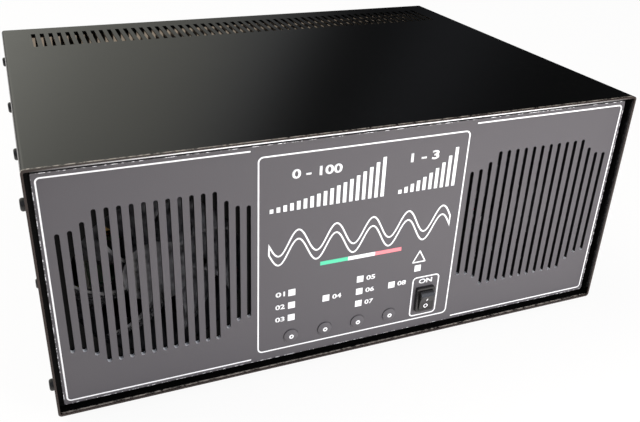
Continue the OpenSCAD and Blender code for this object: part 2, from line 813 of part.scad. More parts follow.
module power_supply() {
    x = [supply_mid - supply_w / 2, supply_mid + supply_w / 2];
    vent = supply_w / 4 - 13;
    step_z = sheet_t + supply_h * 0.385;   // floor of the open terminal step
    terminal = (supply_w - 28) / 8;
    color("lightgray") difference() {
        block(x, [module_y, module_back], [sheet_t, supply_top]);
        // rows of vent slots in the lid
        for (i = [0 : 15], j = [0 : 3]) block([x[0] + 12 + j * (vent + 10), x[0] + 12 + j * (vent + 10) + vent],
            [module_y + 12 + i * 8, module_y + 16 + i * 8], [supply_top - 1.2, supply_top + 1]);
        block([x[0] + 2, x[1] - 2], [module_back - 22, module_back + 1], [step_z, supply_top + 1]);
    }
    color("black") for (i = [0 : 7]) block([x[0] + 14 + i * terminal, x[0] + 11 + (i + 1) * terminal],
        [module_back - 20, module_back - 2], [step_z, step_z + 14]);
}

module control_board() {
    x = control_x;
    y = control_y;
    z0 = control_z;
    color("darkgreen") {
        block(x, y, [z0, z0 + board_t]);
        block([x[0] + 20, x[0] + 34], [y[0] + 30, y[0] + 44], [z0 + board_t - 0.2, z0 + board_t + 1.6]);
        block([x[0] + 60, x[0] + 100], [y[0] + 14, y[0] + 22], [z0 + board_t - 0.2, z0 + board_t + 8]);
    }
}

filter_top = sheet_t + filter_z + board_t;

module filter_board() {
    color("darkgreen") block([filter_left, filter_right], [filter_y, filter_back], [sheet_t + filter_z, filter_top]);
}

// Pillars under the corners of the filter board and of the control board
module board_pillars() {
    color("silver") {
        for (x = [filter_left + 6, filter_right - 6], y = [filter_y + 6, filter_back - 6])
            translate([x, y, sheet_t]) cylinder(h = filter_z, d = 8);
        for (x = [control_x[0] + 5, control_x[1] - 5], y = [control_y[0] + 5, control_y[1] - 5])
            translate([x, y, supply_top]) cylinder(h = control_z - supply_top, d = 6);
    }
}

function bay_x(i) = filter_left + 5 + (i + 0.5) * bay_w;

// A rectangle about the origin with its corners cut off
module chamfered(a, b, c) {
    polygon([[a - c, -b], [a, c - b], [a, b - c], [a - c, b], [c - a, b], [-a, b - c], [-a, c - b], [c - a, -b]]);
}

// Toroids of three sizes stand on edge in a row, each on its own foot
module filter_coils() {
    y = filter_y + filter_depth * 0.34;
    foot = 1.6;
    for (i = [0 : filter_n - 1]) translate([bay_x(i), y, filter_top]) {
        r = filter_depth * 0.2 * (1 - (i % 3) * 0.12);
        w = bay_w * 0.36;
        color("goldenrod") translate([0, 0, foot + r * 0.94]) rotate([90, 0, 90])
            rotate_extrude() translate([r * 0.72, 0]) chamfered(r * 0.28, w / 2, 1);
        color("black") block([-w * 0.4, w * 0.4], [-r * 0.5, r * 0.5], [0, foot + r * 0.1]);
    }
}

module band_relays() {
    y1 = filter_back - 4;
    color("ivory") for (i = [0 : filter_n - 1]) block([bay_x(i) - bay_w * 0.36, bay_x(i) + bay_w * 0.36],
        [y1 - filter_depth * 0.25, y1], [filter_top, filter_top + 20]);
}

// ---- rear ----------------------------------------------------------------

module inlet_cut(gap) {
    along_y(rear_in - 1, rear_face + 1) round_rect([inlet_x - inlet_w / 2 - gap, inlet_x + inlet_w / 2 + gap],
        [socket_z - inlet_h / 2 - gap, socket_z + inlet_h / 2 + gap], 2);
}

module rear_panel() {
    color("dimgray") difference() {
        along_y(rear_in, rear_face) inner_outline(fit_gap);
        for (i = [0 : vent_n - 1]) block([vent_x(i) - vent_w / 2, vent_x(i) + vent_w / 2], [rear_in - 1, rear_face + 1],
            [case_h - rear_vent_drop - rear_vent_len, case_h - rear_vent_drop]);
        for (x = concat(aerial_x, [drive_x])) rod_y(x, socket_z, rear_in - 1, rear_face + 1, 15);
        for (x = jack_x) rod_y(x, socket_z, rear_in - 1, rear_face + 1, 6.4);
        for (z = [-1, 1]) rod_y(fuse_x, socket_z + z * 12, rear_in - 1, rear_face + 1, 12.4);
        rod_y(earth_x, earth_z, rear_in - 1, rear_face + 1, stud_d + hole_gap);
        for (s = [-1, 1], z = [lower_row, upper_z])
            rod_y(s * rear_screw_x, z, rear_in - 1, rear_face + 1, 3 + hole_gap);
        inlet_cut(fit_gap);
    }
}

module aerial_socket(x) {
    half = flange_side / 2;
    y1 = rear_face + socket_t;
    color("silver") difference() {
        union() {
            along_y(rear_face, y1) round_rect([x - half, x + half], [socket_z - half, socket_z + half], 2);
            rod_y(x, socket_z, y1 - 0.5, y1 + barrel_len, barrel_d);
            rod_y(x, socket_z, rear_in - 9, rear_face + 0.5, 14.4);
            // heads of the four flange screws
            for (a = [-9, 9], b = [-9, 9]) rod_y(x + a, socket_z + b, y1 - 0.5, y1 + 1.6, 5);
        }
        rod_y(x, socket_z, y1 - 1, y1 + barrel_len + 1, 12);
    }
}

module aerial_socket_1() { aerial_socket(aerial_x[0]); }
module aerial_socket_2() { aerial_socket(aerial_x[1]); }
module drive_socket() { aerial_socket(drive_x); }

module socket_insulators() {
    y1 = rear_face + socket_t;
    color("white") for (x = concat(aerial_x, [drive_x])) difference() {
        union() {
            rod_y(x, socket_z, y1 - 1, y1 + 4, 12 - 2 * lens_gap);
            rod_y(x, socket_z, y1 + 3, y1 + barrel_len - 4, 7);
        }
        rod_y(x, socket_z, y1, y1 + barrel_len, 4);
    }
}

module phono_jack(x) {
    color("gold") difference() {
        union() {
            rod_y(x, socket_z, rear_face, rear_face + 2, 12);
            rod_y(x, socket_z, rear_face + 1, rear_face + 11, 8.3);
            rod_y(x, socket_z, rear_in - 8, rear_face + 1, 6);
        }
        rod_y(x, socket_z, rear_face + 3, rear_face + 12, 6.6);
    }
    color("gold") difference() {
        rod_y(x, socket_z, rear_face + 2.5, rear_face + 9, 4.6);
        rod_y(x, socket_z, rear_face + 4, rear_face + 10, 3.2);
    }
}

module relay_jack() { phono_jack(jack_x[0]); }
module level_jack() { phono_jack(jack_x[1]); }

module fuse_holder(z) {
    color("black") {
        rod_y(fuse_x, z, rear_in - 26, rear_face + 1, 12);
        rod_y(fuse_x, z, rear_face, rear_face + 3, 16);
        difference() {
            rod_y(fuse_x, z, rear_face + 2.5, rear_face + 11, 12.5);
            block([fuse_x - 4, fuse_x + 4], [rear_face + 9.5, rear_face + 12], [z - 0.7, z + 0.7]);
        }
    }
}

module fuse_holder_1() { fuse_holder(socket_z + 12); }
module fuse_holder_2() { fuse_holder(socket_z - 12); }

// A mains inlet with three flat pins, its flange screwed to the panel
module mains_inlet() {
    y1 = rear_face + 2.4;
    wall = 1.6;
    deep = 16;
    color("black") difference() {
        union() {
            along_y(rear_face, y1) round_rect([inlet_x - 25, inlet_x + 25], [socket_z - 14, socket_z + 14], 4);
            along_y(rear_in - 18, rear_face + 0.5) round_rect([inlet_x - inlet_w / 2, inlet_x + inlet_w / 2],
                [socket_z - inlet_h / 2, socket_z + inlet_h / 2], 2);
            for (s = [-1, 1]) rod_y(inlet_x + s * 20, socket_z, y1 - 0.5, y1 + 1.8, 6);
        }
        along_y(y1 - deep, y1 + 1) round_rect([inlet_x - inlet_w / 2 + wall, inlet_x + inlet_w / 2 - wall],
            [socket_z - inlet_h / 2 + wall, socket_z + inlet_h / 2 - wall], 1.5);
    }
    color("silver") for (p = [[-7, -2], [0, 2], [7, -2]])
        block([inlet_x + p[0] - 1, inlet_x + p[0] + 1], [y1 - deep - 0.5, y1 - 5], [socket_z + p[1] - 2, socket_z + p[1] + 2]);
}

module earth_post() {
    color("silver") {
        rod_y(earth_x, earth_z, rear_in - 6, rear_face + stud_len, stud_d);
        nut_y(earth_x, earth_z, rear_face, 4, 10, stud_d - eps);
        nut_y(earth_x, earth_z, rear_in - 4, 4, 10, stud_d - eps);
    }
}

// ---- the part ------------------------------------------------------------

seated() top_cover();
seated() bottom_cover();
seated() rear_panel();
seated() front_subpanel();
seated() front_plate();
seated() rail_upper_left();
seated() rail_upper_right();
seated() rail_lower_left();
seated() rail_lower_right();
seated() power_meter_lens();
seated() swr_meter_lens();
seated() status_lens();
seated() display_board();
seated() meter_lamps();
seated() display_pillars();
seated() key_switches();
seated() key_1();
seated() key_2();
seated() key_3();
seated() key_4();
seated() switch_housing();
seated() power_rocker();
seated() fan_frame_left();
seated() fan_frame_right();
seated() fan_rotor_left();
seated() fan_rotor_right();
seated() fan_nuts();
seated() heat_sink();
seated() amplifier_board();
seated() power_transistors();
seated() output_transformers();
seated() power_supply();
seated() control_board();
seated() filter_board();
seated() filter_coils();
seated() band_relays();
seated() mains_inlet();
seated() fuse_holder_1();
seated() fuse_holder_2();
seated() aerial_socket_1();
seated() aerial_socket_2();
seated() drive_socket();
seated() socket_insulators();
seated() relay_jack();
seated() level_jack();
seated() earth_post();
seated() foot_front_left();
seated() foot_front_right();
seated() foot_back_left();
seated() foot_back_right();
seated() foot_screws();
seated() side_screws();
seated() rear_screws();
seated() plate_nuts();
seated() board_pillars();
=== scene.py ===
# %% [markdown]
# # A short-wave linear amplifier, dressed for a studio photograph
#
# The solid parts of this amplifier already exist as an exact model: the two
# bent shells, the slotted plate, the fans, the keys and everything inside.
# This file is a lesson in giving those parts their looks. It adds the white
# printing on the front plate, the small things that a workshop adds by hand,
# such as wires and windings, and a procedural finish for every surface.
#
# We start by loading the solid parts. They arrive in metres, each with its
# place in its own mesh, so nothing has to be fitted afterwards.

# %% Load the parts
import math

import bmesh
import bpy
from mathutils import Matrix, Vector


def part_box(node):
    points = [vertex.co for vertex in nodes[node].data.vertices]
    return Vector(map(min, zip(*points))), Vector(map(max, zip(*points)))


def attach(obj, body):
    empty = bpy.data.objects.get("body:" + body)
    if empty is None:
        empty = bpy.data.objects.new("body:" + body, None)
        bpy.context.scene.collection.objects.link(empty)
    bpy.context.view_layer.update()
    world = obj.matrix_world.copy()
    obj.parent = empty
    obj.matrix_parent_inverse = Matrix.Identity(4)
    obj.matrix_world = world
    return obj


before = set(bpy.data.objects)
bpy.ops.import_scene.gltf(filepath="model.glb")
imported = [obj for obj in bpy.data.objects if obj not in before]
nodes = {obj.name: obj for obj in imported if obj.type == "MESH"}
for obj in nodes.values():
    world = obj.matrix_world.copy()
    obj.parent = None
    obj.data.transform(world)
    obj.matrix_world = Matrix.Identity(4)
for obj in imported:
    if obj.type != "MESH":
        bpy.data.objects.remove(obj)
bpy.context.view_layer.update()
print("loaded", len(nodes), "parts")

# %% [markdown]
# A maker measures a front plate in millimetres from its own middle, so the
# script does too. `on_case` turns such a measure into a point in the scene:
# x from the middle, y behind the front rim and z above the underside of the
# case. The datum planes are read from the parts themselves.

# %% A ruler in millimetres
MM = 0.001
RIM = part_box("top_cover")[0].y
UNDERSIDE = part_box("bottom_cover")[0].z
CASE_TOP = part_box("top_cover")[1].z
PLATE_LOW, PLATE_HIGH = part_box("front_plate")
PLATE_Y = (PLATE_LOW.y - RIM) / MM
MIDDLE_Z = (CASE_TOP - UNDERSIDE) / MM / 2


def on_case(x, y, z):
    return Vector((x * MM, RIM + y * MM, UNDERSIDE + z * MM))


def in_case(point):
    """The other way round: a point of the scene in millimetres of the case."""
    return Vector((point.x / MM, (point.y - RIM) / MM, (point.z - UNDERSIDE) / MM))


print("plate face", round(PLATE_Y, 2), "mm behind the rim, middle at", round(MIDDLE_Z, 1), "mm")

# %% [markdown]
# ## The camera
#
# The photograph was taken from the upper left, rather close, so its
# perspective is strong. The place of the camera and its three angles were
# worked out from the corners of the case. The picture seems to be a crop of a
# larger one, which a small lens shift imitates.

# %% Camera
IMAGE_W = 640
FOCAL_PX = 736.9
EYE = on_case(-215.3, -400.9, 353.4)
YAW, PITCH, ROLL = 22.05, -27.16, 1.71
MIDDLE_PX = (297.9, 205.65)
IMAGE_MIDDLE_PX = (320.0, 211.0)

camera_data = bpy.data.cameras.new("studio_camera")
camera_data.sensor_width = 36.0
camera_data.lens = 36.0 * FOCAL_PX / IMAGE_W
camera_data.shift_x = (IMAGE_MIDDLE_PX[0] - MIDDLE_PX[0]) / IMAGE_W
camera_data.shift_y = (MIDDLE_PX[1] - IMAGE_MIDDLE_PX[1]) / IMAGE_W
camera_data.clip_start = 0.01
camera = bpy.data.objects.new("studio_camera", camera_data)
camera.matrix_world = (Matrix.Translation(EYE)
                       @ Matrix.Rotation(math.radians(-YAW), 4, "Z")
                       @ Matrix.Rotation(math.radians(90 + PITCH), 4, "X")
                       @ Matrix.Rotation(math.radians(ROLL), 4, "Z"))
bpy.context.scene.collection.objects.link(camera)
bpy.context.scene.camera = camera
bpy.context.scene.view_settings.view_transform = "Standard"
print("lens", round(camera_data.lens, 2), "mm")

# %% [markdown]
# ## Finishes
#
# A node group is a small machine with named inputs that many materials can
# share. Before the groups come a few helpers that keep their recipes short:
# one makes an empty group, the others add the nodes that occur everywhere.

# %% Helpers for node trees
def new_group(name, inputs, outputs):
    group = bpy.data.node_groups.new(name, "ShaderNodeTree")
    kinds = {"float": "NodeSocketFloat", "color": "NodeSocketColor", "vector": "NodeSocketVector"}
    for label, kind, default in inputs:
        socket = group.interface.new_socket(name=label, in_out="INPUT", socket_type=kinds[kind])
        if default is not None:
            socket.default_value = default
    for label, kind in outputs:
        group.interface.new_socket(name=label, in_out="OUTPUT", socket_type=kinds[kind])
    return group, group.nodes.new("NodeGroupInput"), group.nodes.new("NodeGroupOutput")


def add(tree, kind, **settings):
    node = tree.nodes.new(kind)
    for key, value in settings.items():
        setattr(node, key, value)
    return node


def math_node(tree, operation, a, b=None, clamp=False):
    node = add(tree, "ShaderNodeMath", operation=operation, use_clamp=clamp)
    for slot_no, value in enumerate((a, b)):
        if value is None:
            continue
        if isinstance(value, (int, float)):
            node.inputs[slot_no].default_value = value
        else:
            tree.links.new(value, node.inputs[slot_no])
    return node.outputs[0]


def product(tree, *factors):
    result = factors[0]
    for factor in factors[1:]:
        result = math_node(tree, "MULTIPLY", result, factor)
    return result


def mix_color(tree, factor, a, b):
    node = add(tree, "ShaderNodeMix", data_type="RGBA")
    for label, value in (("Factor", factor), ("A", a), ("B", b)):
        sockets = [s for s in node.inputs if s.name == label and s.enabled]
        socket = sockets[-1] if label != "Factor" else sockets[0]
        if hasattr(value, "is_output"):
            tree.links.new(value, socket)
        elif isinstance(value, (int, float)):
            socket.default_value = value
        else:
            socket.default_value = (*value[:3], 1.0)
    return [s for s in node.outputs if s.enabled][0]


def noise(tree, coords, scale, detail=3.0, roughness=0.5):
    node = add(tree, "ShaderNodeTexNoise")
    node.inputs["Detail"].default_value = detail
    node.inputs["Roughness"].default_value = roughness
    tree.links.new(coords, node.inputs["Vector"])
    if isinstance(scale, (int, float)):
        node.inputs["Scale"].default_value = scale
    else:
        tree.links.new(scale, node.inputs["Scale"])
    return node.outputs["Fac"]


def map_range(tree, value, from_min, from_max, to_min=0.0, to_max=1.0):
    node = add(tree, "ShaderNodeMapRange", clamp=True)
    tree.links.new(value, node.inputs["Value"])
    limits = {"From Min": from_min, "From Max": from_max, "To Min": to_min, "To Max": to_max}
    for label, number in limits.items():
        if isinstance(number, (int, float)):
            node.inputs[label].default_value = number
        else:
            tree.links.new(number, node.inputs[label])
    return node.outputs["Result"]


def object_coords(tree):
    return add(tree, "ShaderNodeTexCoord").outputs["Object"]


def axes_of(tree, vector):
    split = add(tree, "ShaderNodeSeparateXYZ")
    tree.links.new(vector, split.inputs[0])
    return split.outputs


def vary_value(tree, color, swing, amount):
    """The colour, made lighter and darker by a mask that swings round zero."""
    value = add(tree, "ShaderNodeHueSaturation")
    tree.links.new(color, value.inputs["Color"])
    tree.links.new(math_node(tree, "ADD", product(tree, swing, amount), 1.0), value.inputs["Value"])
    return value.outputs["Color"]


def bump_node(tree, height, strength, distance):
    node = add(tree, "ShaderNodeBump")
    node.inputs["Distance"].default_value = distance
    tree.links.new(strength, node.inputs["Strength"])
    tree.links.new(height, node.inputs["Height"])
    return node.outputs["Normal"]


# %% [markdown]
# The first group is paint grain: powder coat and moulded plastic both have a
# fine orange-peel surface, and both vary a little in colour and gloss.
# Object coordinates are in metres here, so a scale of 900 means a grain of
# about one millimetre.

# %% Paint grain group
def make_grain_group():
    group, source, result = new_group("paint_grain", [
        ("Color", "color", (0.5, 0.5, 0.5, 1)), ("Speckle", "float", 0.1), ("Scale", "float", 900.0),
        ("Roughness", "float", 0.5), ("Roughness Spread", "float", 0.05), ("Bump", "float", 0.1),
    ], [("Color", "color"), ("Roughness", "float"), ("Normal", "vector")])
    coords = object_coords(group)
    fine = noise(group, coords, source.outputs["Scale"], 2.0)
    broad = noise(group, coords, 14.0, 3.0)
    centred = math_node(group, "SUBTRACT", fine, 0.5)
    varied = vary_value(group, source.outputs["Color"], centred, source.outputs["Speckle"])
    group.links.new(varied, result.inputs["Color"])
    drift = product(group, math_node(group, "SUBTRACT", broad, 0.5), source.outputs["Roughness Spread"])
    rough = math_node(group, "ADD", math_node(group, "ADD", source.outputs["Roughness"], drift),
                      product(group, centred, 0.06), clamp=True)
    group.links.new(rough, result.inputs["Roughness"])
    group.links.new(bump_node(group, fine, source.outputs["Bump"], 0.0004), result.inputs["Normal"])
    return group


GRAIN = make_grain_group()
print("group", GRAIN.name, "has", len(GRAIN.nodes), "nodes")

# %% [markdown]
# Metal shows how it was made. Drawn bars and rolled sheet have fine lines
# along one direction, which is noise stretched hard along that axis. The
# group takes the stretch as a vector, so one group serves bars that run
# along Y and plates that run along X.

# %% Drawn metal group
def make_metal_group():
    group, source, result = new_group("drawn_metal", [
        ("Color", "color", (0.6, 0.6, 0.6, 1)), ("Stretch", "vector", (600.0, 8.0, 600.0)),
        ("Contrast", "float", 0.2), ("Roughness", "float", 0.35), ("Bump", "float", 0.1),
    ], [("Color", "color"), ("Roughness", "float"), ("Normal", "vector")])
    stretch = add(group, "ShaderNodeVectorMath", operation="MULTIPLY")
    group.links.new(object_coords(group), stretch.inputs[0])
    group.links.new(source.outputs["Stretch"], stretch.inputs[1])
    lines = noise(group, stretch.outputs[0], 1.0, 4.0, 0.7)
    centred = math_node(group, "SUBTRACT", lines, 0.5)
    varied = vary_value(group, source.outputs["Color"], centred, source.outputs["Contrast"])
    group.links.new(varied, result.inputs["Color"])
    rough = math_node(group, "ADD", source.outputs["Roughness"], product(group, centred, 0.25), clamp=True)
    group.links.new(rough, result.inputs["Roughness"])
    group.links.new(bump_node(group, lines, source.outputs["Bump"], 0.0002), result.inputs["Normal"])
    return group


METAL = make_metal_group()
print("group", METAL.name, "has", len(METAL.nodes), "nodes")

# %% [markdown]
# Dust settles on what faces up. This mask looks at the surface normal, keeps
# what points upwards and breaks it up with noise. It is faint, because the
# amplifier is nearly new.

# %% Dust group
def make_dust_group():
    group, source, result = new_group("settled_dust", [
        ("Color", "color", (0.1, 0.1, 0.1, 1)), ("Dust Color", "color", (0.45, 0.42, 0.38, 1)),
        ("Amount", "float", 0.05), ("Scale", "float", 220.0),
    ], [("Color", "color")])
    coords = object_coords(group)
    normal = axes_of(group, add(group, "ShaderNodeNewGeometry").outputs["Normal"])
    upward = map_range(group, normal["Z"], 0.4, 1.0)
    patches = map_range(group, noise(group, coords, source.outputs["Scale"], 5.0, 0.7), 0.45, 0.75)
    clouds = map_range(group, noise(group, coords, 9.0, 3.0), 0.3, 0.8)
    mask = product(group, upward, patches, clouds, source.outputs["Amount"])
    group.links.new(mix_color(group, mask, source.outputs["Color"], source.outputs["Dust Color"]),
                    result.inputs["Color"])
    return group


DUST = make_dust_group()
print("group", DUST.name, "has", len(DUST.nodes), "nodes")

# %% [markdown]
# The front plate has grey paint on its face, and the walls of its slots are near black. At the lower ends of
# the slots, where the light falls in, bright crescents are a painted highlight. Seen from above, the back
# part of the plate's top edge is a clean white line, and along its front corners light flecks are painted:
# both are painted highlights too. The group finds these zones from the surface normal and from the place of a
# point.

# %% Plate zones and highlights group
def make_plate_group():
    group, source, result = new_group("plate_zones_and_highlights", [
        ("Color", "color", (0.15, 0.15, 0.15, 1)), ("Bare Color", "color", (0.8, 0.8, 0.8, 1)),
        ("Wall Color", "color", (0.01, 0.01, 0.01, 1)), ("Roughness", "float", 0.5),
        ("Bare Roughness", "float", 0.3), ("Front", "float", 0.0), ("Half", "float", 0.2),
        ("Bottom", "float", 0.0), ("Top", "float", 0.1), ("Edge", "float", 0.0004),
        ("Reach", "float", 0.0016),
    ], [("Color", "color"), ("Roughness", "float"), ("Painted Highlight", "float")])
    coords = object_coords(group)
    place = axes_of(group, coords)
    normal = axes_of(group, add(group, "ShaderNodeNewGeometry").outputs["True Normal"])
    wall = map_range(group, math_node(group, "ABSOLUTE", normal["Y"]), 0.7, 0.5)
    face = math_node(group, "SUBTRACT", 1.0, wall)
    upward = map_range(group, normal["Z"], 0.45, 0.6)
    edge = source.outputs["Edge"]
    over_side = math_node(group, "SUBTRACT", math_node(group, "ABSOLUTE", place["X"]), source.outputs["Half"])
    over_top = math_node(group, "SUBTRACT", place["Z"], source.outputs["Top"])
    under = math_node(group, "SUBTRACT", source.outputs["Bottom"], place["Z"])
    margin = math_node(group, "MAXIMUM", over_side, math_node(group, "MAXIMUM", over_top, under))
    rim = math_node(group, "GREATER_THAN", math_node(group, "ADD", margin, edge), 0.0)
    inner = math_node(group, "SUBTRACT", 1.0, rim)
    behind = math_node(group, "SUBTRACT", place["Y"], source.outputs["Front"])
    front_line = math_node(group, "LESS_THAN", behind, edge)
    # Bright zones from here on are painted highlights: the back of the top edge, flecks along the front
    # corners and crescents at the lower slot ends.
    back_of_edge = math_node(group, "GREATER_THAN", behind, source.outputs["Reach"])
    flecks = map_range(group, noise(group, coords, 420.0, 4.0, 0.6), 0.50, 0.60)
    corner_highlight_flecks = product(group, rim, flecks, math_node(group, "MAXIMUM", face, front_line))
    upward_highlight = product(group, wall, upward, math_node(group, "MAXIMUM", inner, back_of_edge))
    bare = math_node(group, "ADD", upward_highlight, corner_highlight_flecks, clamp=True)
    dark = product(group, wall, inner, math_node(group, "SUBTRACT", 1.0, upward))
    painted = mix_color(group, dark, source.outputs["Color"], source.outputs["Wall Color"])
    group.links.new(mix_color(group, bare, painted, source.outputs["Bare Color"]), result.inputs["Color"])
    gloss = map_range(group, bare, 0.0, 1.0, source.outputs["Roughness"], source.outputs["Bare Roughness"])
    group.links.new(gloss, result.inputs["Roughness"])
    group.links.new(bare, result.inputs["Painted Highlight"])
    return group


PLATE_ZONES = make_plate_group()
print("group", PLATE_ZONES.name, "has", len(PLATE_ZONES.nodes), "nodes")

# %% [markdown]
# The shells were powder coated and bent, and their front rims show the cut sheet. Behind the cut runs a thin
# brown line, where the powder ends, and behind that a line of lighter flecks, a painted highlight on the
# front corner, but not on the inner faces of the side walls. The cut itself is dark brown, but along the roof
# its lower half is a white line, a painted highlight.

# %% Rim cut and highlights group
def make_rim_group():
    group, source, result = new_group("rim_cut_and_highlights", [
        ("Color", "color", (0.02, 0.02, 0.02, 1)), ("Highlight Fleck Color", "color", (0.42, 0.37, 0.32, 1)),
        ("Cut Color", "color", (0.022, 0.013, 0.010, 1)), ("Highlight Line Color", "color", (0.9, 0.9, 0.9, 1)),
        ("Rim", "float", 0.0), ("Top", "float", 0.2), ("Low", "float", 0.0016), ("High", "float", 0.0008),
        ("Width", "float", 0.0009), ("Amount", "float", 0.8), ("Highlight Line Half", "float", 0.215),
    ], [("Color", "color")])
    coords = object_coords(group)
    place = axes_of(group, coords)
    normal = axes_of(group, add(group, "ShaderNodeNewGeometry").outputs["True Normal"])
    behind = math_node(group, "SUBTRACT", place["Y"], source.outputs["Rim"])
    width = source.outputs["Width"]
    near = math_node(group, "LESS_THAN", behind, width)
    band = product(group, math_node(group, "GREATER_THAN", behind, width),
                   math_node(group, "LESS_THAN", behind, product(group, width, 2.6)))
    # The lighter flecks behind the cut are a painted highlight along the front corner.
    flecks = map_range(group, noise(group, coords, 260.0, 5.0, 0.7), 0.40, 0.56)
    outside = math_node(group, "GREATER_THAN", product(group, normal["X"], place["X"]), -0.1)
    rim_highlight_flecks = product(group, band, flecks, outside, source.outputs["Amount"])
    color = mix_color(group, rim_highlight_flecks, source.outputs["Color"], source.outputs["Highlight Fleck Color"])
    color = mix_color(group, near, color, source.outputs["Cut Color"])
    # On the roof, the lower half of the cut gets a white line, a painted highlight.
    depth = math_node(group, "SUBTRACT", source.outputs["Top"], place["Z"])
    roof = product(group, math_node(group, "LESS_THAN", depth, source.outputs["Low"]),
                   math_node(group, "GREATER_THAN", depth, source.outputs["High"]))
    ends = map_range(group, math_node(group, "ABSOLUTE", place["X"]), source.outputs["Highlight Line Half"], 0.12)
    line_highlight = product(group, near, roof, ends, map_range(group, normal["Y"], -0.5, -0.8))
    group.links.new(mix_color(group, line_highlight, color, source.outputs["Highlight Line Color"]), result.inputs["Color"])
    return group


RIM_CUT_AND_HIGHLIGHTS = make_rim_group()
print("group", RIM_CUT_AND_HIGHLIGHTS.name, "has", len(RIM_CUT_AND_HIGHLIGHTS.nodes), "nodes")

# %% [markdown]
# Turned parts carry threads and knurls. Both are ridges that depend on the
# angle round an axis and on the distance along it: a thread moves on by one
# line in each turn, and a straight knurl has many ribs and no lines at all.
# The relief is bump only, since it is finer than the eye can follow here.

# %% Turned ridges group
def make_ridge_group():
    group, source, result = new_group("turned_ridges", [
        ("Axis", "vector", (0.0, 0.0, 0.0)), ("Lines", "float", 940.0), ("Ribs", "float", 1.0),
        ("Start", "float", 0.0), ("Depth", "float", 0.8),
    ], [("Normal", "vector")])
    coords = object_coords(group)
    offset = add(group, "ShaderNodeVectorMath", operation="SUBTRACT")
    group.links.new(coords, offset.inputs[0])
    group.links.new(source.outputs["Axis"], offset.inputs[1])
    place = axes_of(group, offset.outputs[0])
    angle = math_node(group, "ARCTAN2", place["Z"], place["X"])
    along = product(group, place["Y"], source.outputs["Lines"], 2 * math.pi)
    phase = math_node(group, "ADD", along, product(group, angle, source.outputs["Ribs"]))
    begun = math_node(group, "GREATER_THAN", axes_of(group, coords)["Y"], source.outputs["Start"])
    strength = product(group, begun, source.outputs["Depth"])
    ridges = math_node(group, "SINE", phase)
    group.links.new(bump_node(group, ridges, strength, 0.0002), result.inputs["Normal"])
    return group


RIDGES = make_ridge_group()
print("group", RIDGES.name, "has", len(RIDGES.nodes), "nodes")

# %% [markdown]
# Nearly every material below is one of two kinds: painted or moulded surfaces
# use the grain group, and metals use the drawn metal group. The gauze, which
# comes last, uses neither. Constants that are the same all over a surface,
# such as metalness, are set on the shader itself.

# %% Material builders
def shader_of(name):
    material = bpy.data.materials.new(name)
    material.use_nodes = True
    return material, material.node_tree, material.node_tree.nodes["Principled BSDF"]


def place_group(tree, group, **values):
    node = tree.nodes.new("ShaderNodeGroup")
    node.node_tree = group
    for key, value in values.items():
        socket = node.inputs[key.replace("_", " ").title()]
        if hasattr(value, "is_output"):
            tree.links.new(value, socket)
        elif isinstance(value, (int, float)):
            socket.default_value = value
        elif len(value) == 3 and socket.type == "RGBA":
            socket.default_value = (*value, 1.0)
        else:
            socket.default_value = value
    return node


def coated(name, color, roughness=0.5, scale=900.0, speckle=0.12, bump=0.12, spread=0.06, dust=0.0,
           specular=0.5, subsurface=0.0, rim_cut_and_highlights=False, ridges=None):
    material, tree, shader = shader_of(name)
    grain = place_group(tree, GRAIN, color=color, speckle=speckle, scale=scale, roughness=roughness,
                        roughness_spread=spread, bump=bump)
    tint = grain.outputs["Color"]
    if dust:
        tint = place_group(tree, DUST, color=tint, amount=dust).outputs["Color"]
    # Shells get their brown cut and the painted highlights along their front rims.
    if rim_cut_and_highlights:
        tint = place_group(tree, RIM_CUT_AND_HIGHLIGHTS, color=tint, rim=RIM, top=CASE_TOP).outputs["Color"]
    tree.links.new(tint, shader.inputs["Base Color"])
    tree.links.new(grain.outputs["Roughness"], shader.inputs["Roughness"])
    relief = place_group(tree, RIDGES, **ridges) if ridges else grain
    tree.links.new(relief.outputs["Normal"], shader.inputs["Normal"])
    shader.inputs["Specular IOR Level"].default_value = specular
    shader.inputs["Subsurface Weight"].default_value = subsurface
    shader.inputs["Subsurface Radius"].default_value = (0.004, 0.004, 0.004)
    return material


def metal(name, color, roughness=0.35, stretch=(600.0, 8.0, 600.0), contrast=0.2, bump=0.08, ridges=None):
    material, tree, shader = shader_of(name)
    lines = place_group(tree, METAL, color=color, stretch=stretch, contrast=contrast, roughness=roughness,
                        bump=bump)
    tree.links.new(lines.outputs["Color"], shader.inputs["Base Color"])
    tree.links.new(lines.outputs["Roughness"], shader.inputs["Roughness"])
    relief = place_group(tree, RIDGES, **ridges) if ridges else lines
    tree.links.new(relief.outputs["Normal"], shader.inputs["Normal"])
    shader.inputs["Metallic"].default_value = 1.0
    return material


def plate_paint(name, color, bare):
    material, tree, shader = shader_of(name)
    grain = place_group(tree, GRAIN, color=color, speckle=0.14, scale=1300.0, roughness=0.5,
                        roughness_spread=0.05, bump=0.10)
    # The bright colour of the plate's painted highlights is passed on here, with a little metalness.
    zones = place_group(tree, PLATE_ZONES, color=grain.outputs["Color"], bare_color=bare,
                        wall_color=(0.008, 0.008, 0.009), roughness=grain.outputs["Roughness"],
                        bare_roughness=0.4, front=PLATE_LOW.y, half=PLATE_HIGH.x,
                        bottom=PLATE_LOW.z, top=PLATE_HIGH.z)
    tree.links.new(zones.outputs["Color"], shader.inputs["Base Color"])
    tree.links.new(zones.outputs["Roughness"], shader.inputs["Roughness"])
    tree.links.new(product(tree, zones.outputs["Painted Highlight"], 0.25), shader.inputs["Metallic"])
    tree.links.new(grain.outputs["Normal"], shader.inputs["Normal"])
    shader.inputs["Specular IOR Level"].default_value = 0.35
    return material


# %% [markdown]
# The gauze of a dust screen lets light through and colours it. Its threads
# are two crossed sets of fine lines, made with one sine for each direction.

